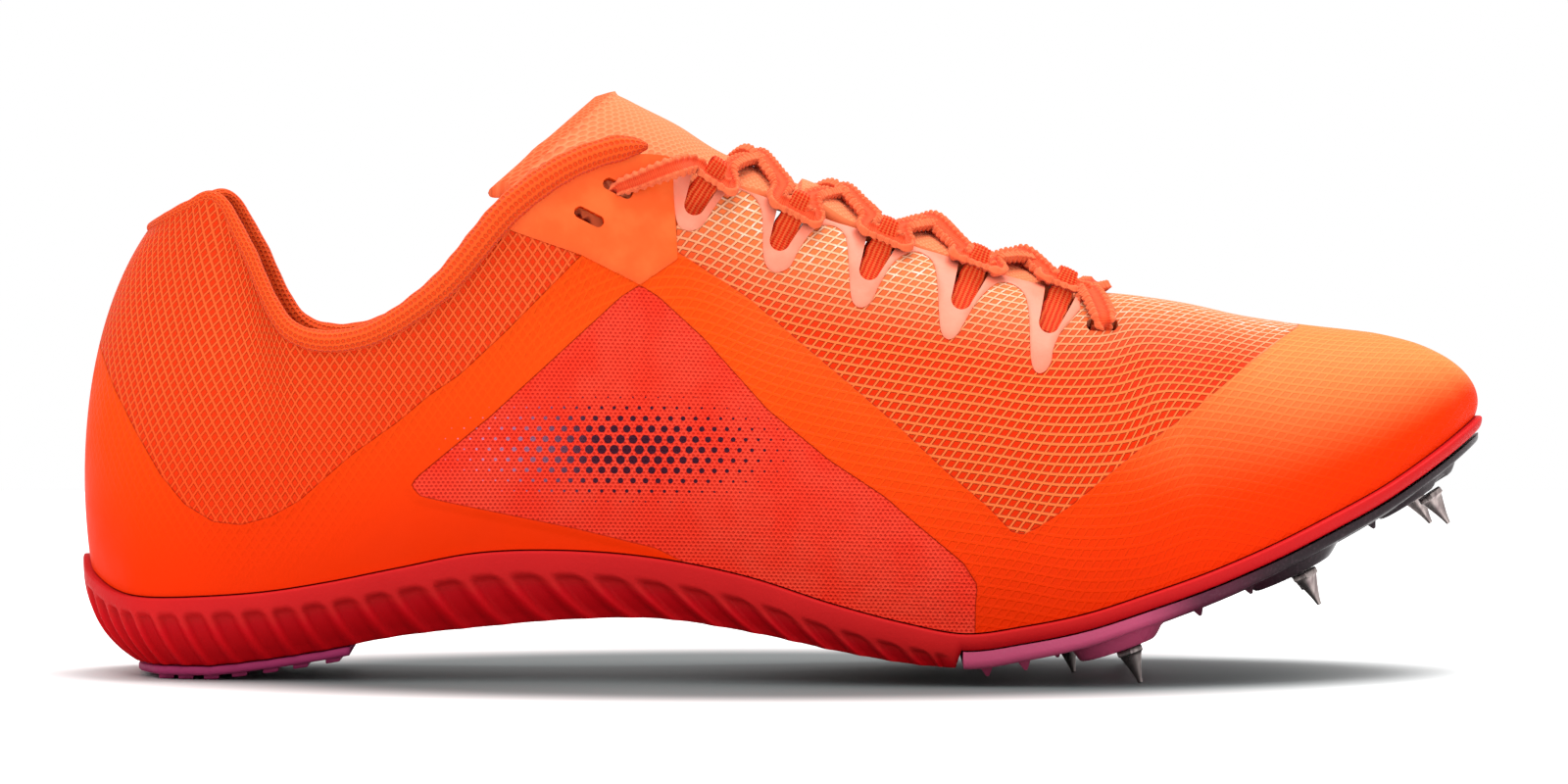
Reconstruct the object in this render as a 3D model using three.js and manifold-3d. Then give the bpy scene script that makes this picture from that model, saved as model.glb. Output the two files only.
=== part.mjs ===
// Track spike shoe for the right foot, empty, standing on its heel rubber and its rear pins.
// Millimetres. +X is towards the toe, +Y towards the medial side, +Z up, and z = 0 is the ground.
import * as THREE from "three";
import { mergeVertices } from "three/addons/utils/BufferGeometryUtils.js";
import Module from "manifold-3d";

const wasm = await Module();
wasm.setup();

// Driving dimensions
const SHOE_LENGTH = 287;
const BALL_WIDTH = 94;
const TAB_HEIGHT = 100;
const WALL = 2;
const FIT = 0.3;
const FILM = 0.6;
const RIM_LEDGE = 1.4;
const RIM_THICKNESS = 3.2;
const RIB_BAND = 3.4;
const RIB_DEPTH = 1.3;
const RIBS_PER_SIDE = 30;
const INSOLE_THICKNESS = 3;
const INSOLE_CLEARANCE = 1;
const TONGUE_THICKNESS = 3;
const TONGUE_CLEARANCE = 0.5;
const NOTCH_RADIUS = 3.1;
const NOTCH_DEPTH = 8.4;
const NOTCH_LEAN = 3.2;
const STAY_WIDTH = 4.2;
const SLOT_LENGTH = 6.6;
const SLOT_HEIGHT = 2.4;
const LOOP_WIDTH = 4.4;
const LOOP_THICKNESS = 1.1;
const LACE_WIDTH = 5.2;
const LACE_THICKNESS = 2;
const PLATE_REAR = 3.6;
const PLATE_FRONT = 2;
const PLATE_INSET = 0.8;
const PIN_LENGTH = 7.4;
const PIN_RADIUS = 2.3;
const PIN_TIP = 0.45;
const PIN_FLANGE_RADIUS = 3;
const PIN_FLANGE_HEIGHT = 1.2;
const POD_RADIUS = 5.6;
const TOOTH_RADIUS = 1.6;
const TOOTH_HEIGHT = 2.2;
const RUBBER_THICKNESS = 1.8;
const LUG_HEIGHT = 0.9;
const LUG_WIDTH = 3;

// A table's rows with their columns named
const table = (columns, rows) =>
  rows.map((row) => Object.fromEntries(columns.map((column, index) => [column, row[index]])));

// Feather line, where the upper meets the sole, one row per section from the heel back to the toe tip.
// x is a share of SHOE_LENGTH, the sides are shares of BALL_WIDTH, the heights shares of TAB_HEIGHT.
const FEATHER = table(["x", "lateral", "medial", "lateralZ", "medialZ"], [
  [0.006, 0.0, 0.0, 0.248, 0.248],
  [0.011, 0.106, 0.106, 0.215, 0.215],
  [0.029, 0.202, 0.202, 0.182, 0.182],
  [0.052, 0.266, 0.266, 0.171, 0.171],
  [0.091, 0.303, 0.303, 0.174, 0.174],
  [0.136, 0.314, 0.312, 0.184, 0.186],
  [0.181, 0.312, 0.302, 0.204, 0.208],
  [0.23, 0.306, 0.281, 0.232, 0.24],
  [0.286, 0.302, 0.26, 0.262, 0.276],
  [0.348, 0.309, 0.251, 0.267, 0.286],
  [0.411, 0.332, 0.264, 0.253, 0.27],
  [0.474, 0.368, 0.294, 0.218, 0.228],
  [0.533, 0.409, 0.332, 0.166, 0.17],
  [0.585, 0.443, 0.368, 0.128, 0.128],
  [0.627, 0.462, 0.398, 0.108, 0.108],
  [0.669, 0.472, 0.426, 0.124, 0.124],
  [0.711, 0.472, 0.445, 0.149, 0.149],
  [0.753, 0.458, 0.455, 0.187, 0.187],
  [0.798, 0.428, 0.449, 0.231, 0.231],
  [0.843, 0.385, 0.427, 0.284, 0.284],
  [0.885, 0.326, 0.387, 0.341, 0.341],
  [0.923, 0.253, 0.33, 0.396, 0.396],
  [0.956, 0.166, 0.255, 0.454, 0.454],
  [0.981, 0.068, 0.158, 0.502, 0.502],
  [0.994, -0.043, 0.043, 0.528, 0.528],
]);

// Top line of each section: the collar and throat edge, then the ridge of the vamp, where gap is 0.
// rise and bulge set how the wall leaves the feather line, drop and lean how it arrives at the top.
const TOP = table(["x", "centre", "gap", "z", "rise", "bulge", "drop", "lean"], [
  [0.047, 0.0, 0.0, 0.904, 0.28, 0.064, 0.28, 0.101],
  [0.052, 0.0, 0.067, 0.912, 0.29, 0.065, 0.28, 0.087],
  [0.063, 0.0, 0.126, 0.928, 0.3, 0.067, 0.28, 0.053],
  [0.079, 0.0, 0.17, 0.95, 0.32, 0.069, 0.29, 0.021],
  [0.099, 0.0, 0.202, 0.966, 0.33, 0.069, 0.3, 0.009],
  [0.118, 0.0, 0.223, 0.872, 0.33, 0.064, 0.3, 0.005],
  [0.15, 0.0, 0.251, 0.698, 0.34, 0.049, 0.3, 0.004],
  [0.203, 0.0, 0.274, 0.679, 0.35, 0.04, 0.3, 0.004],
  [0.261, 0.0, 0.289, 0.776, 0.35, 0.038, 0.3, 0.005],
  [0.314, 0.0, 0.279, 0.946, 0.34, 0.049, 0.3, 0.009],
  [0.364, 0.0, 0.251, 1.039, 0.34, 0.064, 0.28, 0.017],
  [0.415, 0.0, 0.215, 1.058, 0.33, 0.085, 0.25, 0.036],
  [0.476, 0.0, 0.168, 0.984, 0.33, 0.111, 0.2, 0.074],
  [0.533, 0.0, 0.147, 0.924, 0.32, 0.134, 0.15, 0.128],
  [0.578, 0.0, 0.14, 0.884, 0.32, 0.149, 0.12, 0.16],
  [0.62, 0.0, 0.136, 0.846, 0.32, 0.16, 0.1, 0.181],
  [0.666, 0.0, 0.123, 0.804, 0.33, 0.17, 0.07, 0.202],
  [0.707, 0.0, 0.077, 0.779, 0.35, 0.181, 0.03, 0.223],
  [0.739, 0.0, 0.0, 0.776, 0.38, 0.191, 0.0, 0.234],
  [0.784, 0.008, 0.0, 0.758, 0.4, 0.187, 0.0, 0.223],
  [0.822, 0.017, 0.0, 0.734, 0.42, 0.177, 0.0, 0.209],
  [0.854, 0.026, 0.0, 0.72, 0.43, 0.164, 0.0, 0.191],
  [0.878, 0.033, 0.0, 0.711, 0.43, 0.153, 0.0, 0.181],
  [0.899, 0.038, 0.0, 0.704, 0.42, 0.14, 0.0, 0.181],
  [0.913, 0.043, 0.0, 0.699, 0.42, 0.134, 0.0, 0.181],
]);
const LAST = FEATHER.length - 1;
const RIDGE_START = TOP.findIndex((row, index) => index > 0 && row.gap === 0);
const RIDGE_FADE = 2;

// Lower edge of the sole's thick rear part for the sections up to the step: its rise above the level
// heel as a share of TAB_HEIGHT, and how far it is tucked in as a share of BALL_WIDTH.
const SOLE = table(["rise", "tuck"], [
  [0.0, 0.106],
  [0.0, 0.096],
  [0.0, 0.074],
  [0.0, 0.053],
  [0.0, 0.047],
  [0.014, 0.043],
  [0.034, 0.04],
  [0.06, 0.037],
  [0.078, 0.034],
  [0.094, 0.032],
  [0.097, 0.03],
  [0.072, 0.028],
  [0.038, 0.025],
  [0.014, 0.022],
  [0.006, 0.02],
]);
const HEEL_LEVEL = RUBBER_THICKNESS + LUG_HEIGHT + FIT;
const STEP_STATION = 13.8;
const STEP_RUN = 0.12;
const RIB_SLANT = table(["station", "slant"], [
  [0, 0],
  [2, 0.45],
  [5, 0.5],
  [10, 0.62],
  [13, 0.4],
  [STEP_STATION, 0],
]);

// Collar roll: its radius at each station, in millimetres, from the heel tab to the throat.
const ROLL_END = 10.8;
const ROLL = table(["station", "radius"], [
  [0, 1.5],
  [3, 1.5],
  [6, 2],
  [9, 2.6],
  [ROLL_END, 2.7],
]);

// Tongue: centre x and side sweep as shares of SHOE_LENGTH, heights of TAB_HEIGHT, half width of BALL_WIDTH
const TONGUE = table(["x", "crown", "half", "fall", "sweep"], [
  [0.371, 1.192, 0.213, 0.2, 0.07],
  [0.392, 1.168, 0.218, 0.155, 0.046],
  [0.424, 1.12, 0.218, 0.118, 0.021],
  [0.46, 1.052, 0.218, 0.098, 0.007],
  [0.526, 0.966, 0.204, 0.08, 0],
  [0.589, 0.9, 0.192, 0.07, 0],
  [0.654, 0.832, 0.18, 0.064, 0],
  [0.7, 0.782, 0.16, 0.06, 0],
  [0.735, 0.742, 0.128, 0.05, 0],
]);

const NOTCH_STATIONS = [11.55, 12.55, 13.85, 15.35, 16.75];
const SPIKES = table(["name", "x", "y", "pod"], [
  ["lateral_rear", 0.742, -0.33, 0.026],
  ["medial_rear", 0.742, 0.34, 0.026],
  ["central_rear", 0.701, 0.01, 0.02],
  ["lateral_middle", 0.866, -0.25, 0.03],
  ["medial_middle", 0.866, 0.31, 0.03],
  ["lateral_front", 0.958, -0.08, 0.026],
  ["medial_front", 0.952, 0.19, 0.026],
]);
const TEETH = table(["x", "y"], [
  [0.642, -0.36],
  [0.642, 0.28],
  [0.668, -0.39],
  [0.668, 0.33],
  [0.692, -0.2],
  [0.692, 0.2],
  [0.79, -0.31],
  [0.79, 0.34],
  [0.803, 0.02],
  [0.826, -0.27],
  [0.826, 0.32],
  [0.9, 0.05],
  [0.915, -0.12],
  [0.915, 0.25],
]);
// Smooth film patch that holds the two top slots, seen from the side
const TOP_PANEL = table(["x", "z"], [
  [0.308, 0.9],
  [0.358, 0.86],
  [0.399, 0.8],
  [0.421, 0.845],
  [0.423, 0.97],
  [0.428, 1.2],
  [0.3, 1.2],
]);
const TOP_SLOTS = table(["x", "z"], [
  [0.3635, 0.936],
  [0.3835, 0.993],
]);
const TOP_SLOT_TILT = 27;
const FRONT_SLOT = { x: 0.7245, z: 0.718 };

// Values between the rows of a table, smooth through every row
function hermite(a, b, c, d, t) {
  const slopeB = (c - a) / 2;
  const slopeC = (d - b) / 2;
  const t2 = t * t;
  const t3 = t2 * t;
  return b * (2 * t3 - 3 * t2 + 1) + slopeB * (t3 - 2 * t2 + t) + c * (3 * t2 - 2 * t3) + slopeC * (t3 - t2);
}

// The rows go once round the shoe: past the heel back or the toe tip they go on along the other side
function spline(valueAt, station, side) {
  const first = Math.max(0, Math.min(Math.floor(station), LAST - 1));
  const at = (row) => {
    if (row < 0) return valueAt(-row, -side);
    if (row > LAST) return valueAt(2 * LAST - row, -side);
    return valueAt(row, side);
  };
  return hermite(at(first - 1), at(first), at(first + 1), at(first + 2), station - first);
}

function between(rows, column, station) {
  const next = Math.max(1, rows.findIndex((row) => row.station >= station));
  const [a, b] = [rows[next - 1], rows[next]];
  const t = THREE.MathUtils.clamp((station - a.station) / (b.station - a.station), 0, 1);
  return a[column] + (b[column] - a[column]) * t * t * (3 - 2 * t);
}

const LATERAL = -1;
const MEDIAL = 1;
const SIDES = table(["side", "name"], [[LATERAL, "lateral"], [MEDIAL, "medial"]]);

function feather(station, side) {
  const y = (row, at) => at * (at === MEDIAL ? FEATHER[row].medial : FEATHER[row].lateral);
  const z = (row, at) => (at === MEDIAL ? FEATHER[row].medialZ : FEATHER[row].lateralZ);
  return new THREE.Vector3(
    spline((row) => FEATHER[row].x, station, side) * SHOE_LENGTH,
    spline(y, station, side) * BALL_WIDTH,
    spline(z, station, side) * TAB_HEIGHT,
  );
}

function topLine(station, side) {
  const signedGap = spline((row, at) => at * TOP[row].gap, station, side);
  const gap = station >= RIDGE_START ? 0 : side * Math.max(0, side * signedGap);
  return new THREE.Vector3(
    spline((row) => TOP[row].x, station, side) * SHOE_LENGTH,
    (spline((row) => TOP[row].centre, station, side) + gap) * BALL_WIDTH,
    spline((row) => TOP[row].z, station, side) * TAB_HEIGHT,
  );
}

// The station and side of a place that may lie past the heel back or the toe tip
function wrapped(station, side) {
  if (station < 0) return [-station, -side];
  if (station > LAST) return [2 * LAST - station, -side];
  return [station, side];
}

const STATION_STEP = 0.02;
const HEIGHT_STEP = 0.02;

// Level direction out of the shoe at a station, square to the feather line
function outward(station, side) {
  const ahead = feather(...wrapped(station + STATION_STEP, side));
  const behind = feather(...wrapped(station - STATION_STEP, side));
  const along = ahead.sub(behind).setZ(0).normalize();
  return new THREE.Vector3(-side * along.y, side * along.x, 0);
}

function ridgeSlope(station) {
  const behind = topLine(Math.max(station - STATION_STEP, 0), MEDIAL);
  const ahead = topLine(Math.min(station + STATION_STEP, LAST), MEDIAL);
  return (ahead.z - behind.z) / (ahead.x - behind.x);
}

// Outer surface of the upper: station runs from heel back to toe tip, height from 0 at the sole to 1
function upperPoint(stationIn, sideIn, height) {
  const [station, side] = wrapped(stationIn, sideIn);
  const foot = feather(station, side);
  const top = topLine(station, side);
  const chord = top.clone().sub(foot);
  const out = outward(station, side);
  const share = (column) => spline((row) => TOP[row][column], station, side);
  const onRidge = THREE.MathUtils.smoothstep(station, RIDGE_START - RIDGE_FADE, RIDGE_START);
  const lean = out.clone().multiplyScalar(share("lean") * BALL_WIDTH);
  lean.z += onRidge * ridgeSlope(station) * lean.x;
  const bulge = share("bulge") * BALL_WIDTH;
  const low = foot.clone().addScaledVector(chord, share("rise")).addScaledVector(out, bulge);
  const drop = station >= RIDGE_START ? 0 : share("drop");
  const high = top.clone().addScaledVector(chord, -drop).add(lean);
  const rest = 1 - height;
  return new THREE.Vector3()
    .addScaledVector(foot, rest * rest * rest)
    .addScaledVector(low, 3 * rest * rest * height)
    .addScaledVector(high, 3 * rest * height * height)
    .addScaledVector(top, height * height * height);
}

function upperNormal(station, side, height) {
  if (station >= RIDGE_START && height > 1 - HEIGHT_STEP) {
    return new THREE.Vector3(-ridgeSlope(station), 0, 1).normalize();
  }
  const middle = THREE.MathUtils.clamp(height, HEIGHT_STEP, 1 - HEIGHT_STEP);
  const behind = upperPoint(station - STATION_STEP, side, middle);
  const along = upperPoint(station + STATION_STEP, side, middle).sub(behind);
  const below = upperPoint(station, side, middle - HEIGHT_STEP);
  const up = upperPoint(station, side, middle + HEIGHT_STEP).sub(below);
  return along.cross(up).multiplyScalar(-side).normalize();
}

// Closed solids from rings of points, each ring the outline of one cut through the piece
const WELD = 0.02;

function solidFromRings(rings) {
  const count = rings[0].length;
  const positions = [];
  const triangles = [];
  for (const ring of rings) for (const point of ring) positions.push(point.x, point.y, point.z);
  for (let ring = 0; ring + 1 < rings.length; ring++) {
    for (let place = 0; place < count; place++) {
      const next = (place + 1) % count;
      const [a, b] = [ring * count + place, ring * count + next];
      const [c, d] = [a + count, b + count];
      triangles.push(a, b, d, a, d, c);
    }
  }
  const cap = (ringIndex, turned) => {
    const ring = rings[ringIndex];
    const middle = new THREE.Vector3();
    for (const point of ring) middle.addScaledVector(point, 1 / count);
    const centre = positions.length / 3;
    positions.push(middle.x, middle.y, middle.z);
    for (let place = 0; place < count; place++) {
      const a = ringIndex * count + place;
      const b = ringIndex * count + ((place + 1) % count);
      if (turned) triangles.push(centre, b, a);
      else triangles.push(centre, a, b);
    }
  };
  const half = Math.floor(count / 2);
  const closed = (ring) => (point, place) => point.distanceTo(ring[count - 1 - place]) < WELD;
  const flat = (ring) => ring.slice(0, half).every(closed(ring));
  if (!flat(rings[0])) cap(0, true);
  if (!flat(rings.at(-1))) cap(rings.length - 1, false);
  return toSolid(positions, triangles);
}

function toSolid(positions, triangles) {
  const geometry = new THREE.BufferGeometry();
  geometry.setAttribute("position", new THREE.Float32BufferAttribute(positions, 3));
  geometry.setIndex(triangles);
  return solidOf(geometry);
}

function solidOf(source) {
  const geometry = source.clone();
  geometry.deleteAttribute("normal");
  geometry.deleteAttribute("uv");
  const merged = mergeVertices(geometry, 1e-3);
  const places = merged.attributes.position;
  const corners = [];
  for (let face = 0; face < merged.index.count; face += 3) {
    const [a, b, c] = [0, 1, 2].map((corner) => merged.index.getX(face + corner));
    if (a !== b && b !== c && c !== a) corners.push(a, b, c);
  }
  if (signedVolume(places, corners) < 0) corners.reverse();
  const mesh = new wasm.Mesh({
    numProp: 3,
    vertProperties: new Float32Array(places.array),
    triVerts: new Uint32Array(corners),
  });
  return new wasm.Manifold(mesh);
}

function signedVolume(places, corners) {
  const [a, b, c] = [new THREE.Vector3(), new THREE.Vector3(), new THREE.Vector3()];
  let total = 0;
  for (let face = 0; face < corners.length; face += 3) {
    a.fromBufferAttribute(places, corners[face]);
    b.fromBufferAttribute(places, corners[face + 1]);
    c.fromBufferAttribute(places, corners[face + 2]);
    total += a.dot(b.cross(c)) / 6;
  }
  return total;
}

const largestBody = (solid) =>
  solid.decompose().reduce((best, body) => (body.volume() > best.volume() ? body : best));

function geometryOf(solid) {
  const mesh = solid.getMesh();
  const geometry = new THREE.BufferGeometry();
  const positions = [];
  for (let vertex = 0; vertex < mesh.numVert; vertex++) {
    const from = vertex * mesh.numProp;
    positions.push(...mesh.vertProperties.slice(from, from + 3));
  }
  geometry.setAttribute("position", new THREE.Float32BufferAttribute(positions, 3));
  geometry.setIndex([...mesh.triVerts]);
  geometry.computeVertexNormals();
  return geometry;
}

// Stations at which the long pieces are cut, closer at the heel and the toe
function stations(from, to, count) {
  return Array.from({ length: count + 1 }, (unused, index) => from + ((to - from) * index) / count);
}

const UPPER_STATIONS = 40;
const UPPER_HEIGHTS = 7;
const INNER_HEIGHTS = 5;
const OPEN_REACH = 14;

// The filled form of the upper, moved in (or out, below 0) by inset. An open form runs on past its edges.
function upperForm(inset, open, stationCount = UPPER_STATIONS, heightCount = UPPER_HEIGHTS) {
  const rings = stations(0, LAST, stationCount).map((station) => {
    const sides = SIDES.map(({ side }) => {
      const rib = stations(0, 1, heightCount).map((height) =>
        upperPoint(station, side, height).addScaledVector(upperNormal(station, side, height), -inset));
      if (open) {
        rib.unshift(rib[0].clone().setZ(rib[0].z - OPEN_REACH));
        const top = rib.at(-1);
        const reach = station >= RIDGE_START ? 0 : OPEN_REACH;
        rib.push(top.clone().setZ(top.z + reach));
      }
      return rib;
    });
    const [lateral, medial] = sides;
    medial.forEach((point, place) => {
      if (point.distanceTo(lateral[place]) < WELD) point.copy(lateral[place]);
    });
    return [...lateral, ...medial.reverse()];
  });
  return solidFromRings(rings);
}

// A bar along Y over one side of the shoe, with an outline seen from the side
const PRISM_REACH = BALL_WIDTH * 0.75;

function sidePrism(points, side) {
  const shape = new THREE.Shape(points.map(([x, z]) => new THREE.Vector2(x, z)));
  const bar = new THREE.ExtrudeGeometry(shape, { depth: PRISM_REACH, bevelEnabled: false });
  bar.rotateX(Math.PI / 2);
  if (side === MEDIAL) bar.translate(0, PRISM_REACH, 0);
  return solidOf(bar);
}

// Outline of a slot with round ends between two points of the side view
function capsule(from, to, radius, steps = 4) {
  const along = Math.atan2(to[1] - from[1], to[0] - from[0]);
  const arc = (centre, start) => stations(start, start + Math.PI, steps).map((angle) =>
    [centre[0] + radius * Math.cos(angle), centre[1] + radius * Math.sin(angle)]);
  return [...arc(to, along - Math.PI / 2), ...arc(from, along + Math.PI / 2)];
}

const notches = SIDES.flatMap(({ side, name }) => NOTCH_STATIONS.map((station, index) => {
  const mouth = topLine(station, side);
  const bottom = [mouth.x - NOTCH_LEAN, mouth.z - NOTCH_DEPTH + NOTCH_RADIUS];
  return { side, name, station, index, mouth, bottom };
}));

function notchBar({ mouth, bottom, side }, radius) {
  const above = [mouth.x + NOTCH_LEAN, mouth.z + NOTCH_DEPTH];
  return sidePrism(capsule(bottom, above, radius), side);
}

function slotBar({ x, z, tilt, side }) {
  const reach = (SLOT_LENGTH - SLOT_HEIGHT) / 2;
  const [dx, dz] = [reach * Math.cos(tilt), reach * Math.sin(tilt)];
  return sidePrism(capsule([x - dx, z + dz], [x + dx, z - dz], SLOT_HEIGHT / 2), side);
}

const slotPlaces = SIDES.flatMap(({ side }) => [
  ...TOP_SLOTS.map((slot) => ({ side, x: slot.x, z: slot.z, tilt: THREE.MathUtils.degToRad(TOP_SLOT_TILT) })),
  { side, ...FRONT_SLOT, tilt: 0 },
]).map((slot) => ({ ...slot, x: slot.x * SHOE_LENGTH, z: slot.z * TAB_HEIGHT }));

function cutOpenings(solid, side) {
  let result = solid;
  const own = (place) => !side || place.side === side;
  for (const notch of notches.filter(own)) result = result.subtract(notchBar(notch, NOTCH_RADIUS));
  for (const slot of slotPlaces.filter(own)) result = result.subtract(slotBar(slot));
  return result;
}

const upperOuter = upperForm(0, false);
const upperInner = upperForm(WALL, true, UPPER_STATIONS, INNER_HEIGHTS);

function makeUpper() {
  return largestBody(cutOpenings(upperOuter.subtract(upperInner), 0));
}

// Film overlays, cut between two forms of the upper just outside its wall
const filmShell = upperForm(-FIT - FILM, false).subtract(upperForm(-FIT, true));

function makeTopPanel(side) {
  const outline = TOP_PANEL.map(({ x, z }) => [x * SHOE_LENGTH, z * TAB_HEIGHT]);
  return largestBody(cutOpenings(filmShell.intersect(sidePrism(outline, side)), side));
}

function makeEyestay(side) {
  const own = notches.filter((notch) => notch.side === side);
  const startX = TOP_PANEL[4].x * SHOE_LENGTH + FIT;
  const low = [];
  own.forEach((notch, index) => {
    const [x, z] = notch.bottom;
    const valleyZ = z - NOTCH_RADIUS - STAY_WIDTH;
    low.push([Math.max(startX, x - NOTCH_RADIUS), valleyZ], [x + NOTCH_RADIUS, valleyZ]);
    if (index + 1 < own.length) {
      const middle = topLine((notch.station + own[index + 1].station) / 2, side);
      low.push([middle.x + NOTCH_LEAN / 2, middle.z - STAY_WIDTH]);
    }
  });
  const last = own.at(-1);
  const above = TAB_HEIGHT;
  const outline = [...low, [last.mouth.x + NOTCH_RADIUS, last.mouth.z - STAY_WIDTH / 2],
    [last.mouth.x + STAY_WIDTH, last.mouth.z + above], [startX, last.mouth.z + above]];
  return largestBody(cutOpenings(filmShell.intersect(sidePrism(outline, side)), side));
}

// The knitted roll along the collar, square to the edge that it sits on
const ROLL_PROUD = 0.2;
const ROLL_CLEARANCE = 0.6;
const ROLL_SIDES = 7;
const ROLL_END_SHARE = 0.45;

function makeCollarRoll() {
  const count = Math.round((2 * ROLL_END * UPPER_STATIONS) / LAST);
  const rings = stations(-ROLL_END, ROLL_END, count).map((place, index, all) => {
    const [station, side] = wrapped(place, MEDIAL);
    const edge = topLine(station, side);
    const ahead = topLine(...wrapped(place + STATION_STEP, MEDIAL));
    const along = ahead.sub(topLine(...wrapped(place - STATION_STEP, MEDIAL))).normalize();
    const up = new THREE.Vector3(0, 0, 1).addScaledVector(along, -along.z).normalize();
    const out = up.clone().cross(along).normalize();
    const full = between(ROLL, "radius", station);
    const radius = index === 0 || index === all.length - 1 ? full * ROLL_END_SHARE : full;
    const centre = edge.clone().addScaledVector(up, full + ROLL_CLEARANCE)
      .addScaledVector(out, ROLL_PROUD * full - WALL / 2);
    return stations(0, 2 * Math.PI, ROLL_SIDES).slice(1).map((angle) => centre.clone()
      .addScaledVector(up, radius * Math.cos(angle)).addScaledVector(out, radius * Math.sin(angle)));
  });
  return solidFromRings(rings);
}

// Sole: the rim goes all round, the thick ribbed part ends in a step under the ball
function soleEdge(station, side) {
  return feather(station, side).addScaledVector(outward(station, side), RIM_LEDGE);
}

function soleBottom(station, side) {
  const thin = feather(station, side).z - FIT - RIM_THICKNESS;
  if (station >= STEP_STATION + STEP_RUN) return thin;
  const row = (index) => SOLE[Math.min(Math.abs(index), SOLE.length - 1)].rise;
  const thick = HEEL_LEVEL + Math.max(0, spline(row, Math.min(station, STEP_STATION), side)) * TAB_HEIGHT;
  const t = THREE.MathUtils.clamp((station - STEP_STATION) / STEP_RUN, 0, 1);
  return Math.min(thin, thick + (thin - thick) * t);
}

function soleTuck(station, side) {
  const row = (index) => SOLE[Math.min(Math.abs(index), SOLE.length - 1)].tuck;
  const fade = THREE.MathUtils.clamp((STEP_STATION + STEP_RUN - station) / STEP_RUN, 0, 1);
  return spline(row, Math.min(station, STEP_STATION), side) * BALL_WIDTH * fade;
}

// Side of the sole at a height share, 0 at the top edge and 1 at the lower edge, with a groove's depth
const SIDE_BEND = 0.35;

function soleSide(station, side, share, groove) {
  const out = outward(station, side);
  const top = soleEdge(station, side).add(new THREE.Vector3(0, 0, -FIT));
  const bottom = feather(station, side).addScaledVector(out, -soleTuck(station, side));
  bottom.z = soleBottom(station, side);
  const bend = top.clone().setZ(THREE.MathUtils.lerp(bottom.z, top.z, SIDE_BEND));
  const rest = 1 - share;
  return top.multiplyScalar(rest * rest).addScaledVector(bend, 2 * rest * share)
    .addScaledVector(bottom, share * share).addScaledVector(out, -groove);
}

// Levels down the side: top edge, foot of the plain band, ceiling of the grooves, their middle, lower edge
const BAND_LIMIT = 0.5;
const GROOVE_CEILING = 0.06;
const soleLevels = (station, side) => {
  const full = feather(station, side).z - soleBottom(station, side);
  const band = Math.min(BAND_LIMIT, RIB_BAND / full);
  return [0, band, band + GROOVE_CEILING, (1 + band) / 2, 1];
};
const GROOVE_SHARES = [0, 0, 1, 0.9, 0.25];

// Depth of a groove across one rib pitch, and the level below which the ribs slant
const RIB_PROFILE = table(["place", "depth"], [
  [0, 0],
  [0.3, 1],
  [0.8, 0.5],
]);
const SLANT_FROM = 0.2;
const SOLE_FRONT_STEPS = 15;

function makeMidsole() {
  const pitch = STEP_STATION / RIBS_PER_SIDE;
  const columns = [];
  for (let rib = 0; rib < RIBS_PER_SIDE; rib++) {
    for (const { place, depth } of RIB_PROFILE) columns.push([(rib + place) * pitch, depth]);
  }
  columns.push([STEP_STATION, 0], [STEP_STATION + STEP_RUN / 2, 0]);
  stations(STEP_STATION + STEP_RUN, LAST, SOLE_FRONT_STEPS).forEach((station) => columns.push([station, 0]));
  const rings = columns.map(([start, depth]) => {
    const sides = SIDES.map(({ side }) => soleLevels(start, side).map((share, level) => {
      const ribbed = start < STEP_STATION;
      const slant = ribbed ? between(RIB_SLANT, "slant", start) * Math.max(0, share - SLANT_FROM) : 0;
      const station = ribbed ? Math.min(start + slant, STEP_STATION) : start;
      return soleSide(station, side, share, depth * RIB_DEPTH * GROOVE_SHARES[level]);
    }));
    const [lateral, medial] = sides;
    medial.forEach((point, place) => {
      if (point.distanceTo(lateral[place]) < WELD) point.copy(lateral[place]);
    });
    return [...lateral, ...medial.reverse()];
  });
  return solidFromRings(rings);
}

const INSOLE_END = 0.35;
const INSOLE_STEPS = 28;

function makeInsole() {
  const inset = WALL + INSOLE_CLEARANCE;
  const rings = stations(INSOLE_END, LAST - INSOLE_END, INSOLE_STEPS).map((station) => {
    const [lateral, medial] = SIDES.map(({ side }) => {
      const edge = feather(station, side).addScaledVector(outward(station, side), -inset);
      const low = edge.clone().setZ(edge.z + FIT);
      return [low, edge.clone().setZ(low.z + INSOLE_THICKNESS)];
    });
    return [...lateral, ...medial.reverse()];
  });
  return solidFromRings(rings);
}

const TONGUE_STEPS = 14;
const TONGUE_SIDES = 6;

function tongueRow(column, place) {
  const row = (index) => TONGUE[THREE.MathUtils.clamp(index, 0, TONGUE.length - 1)][column];
  const first = Math.min(Math.floor(place), TONGUE.length - 2);
  return hermite(row(first - 1), row(first), row(first + 1), row(first + 2), place - first);
}

// Outer face of the tongue: place runs from its free end to its root, across from -1 to 1
function tonguePoint(place, across, sunk) {
  const bow = across * across;
  return new THREE.Vector3(
    (tongueRow("x", place) - tongueRow("sweep", place) * bow) * SHOE_LENGTH,
    tongueRow("half", place) * across * BALL_WIDTH,
    (tongueRow("crown", place) - tongueRow("fall", place) * bow) * TAB_HEIGHT - sunk,
  );
}

function makeTongue() {
  const rings = stations(0, TONGUE.length - 1, TONGUE_STEPS).map((place) => {
    const acrosses = stations(-1, 1, TONGUE_SIDES);
    const outer = acrosses.map((across) => tonguePoint(place, across, 0));
    const inner = acrosses.map((across) => tonguePoint(place, across, TONGUE_THICKNESS));
    return [...outer, ...inner.reverse()];
  });
  const room = upperForm(WALL + TONGUE_CLEARANCE, true, UPPER_STATIONS, INNER_HEIGHTS);
  return largestBody(solidFromRings(rings).intersect(room));
}

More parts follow.
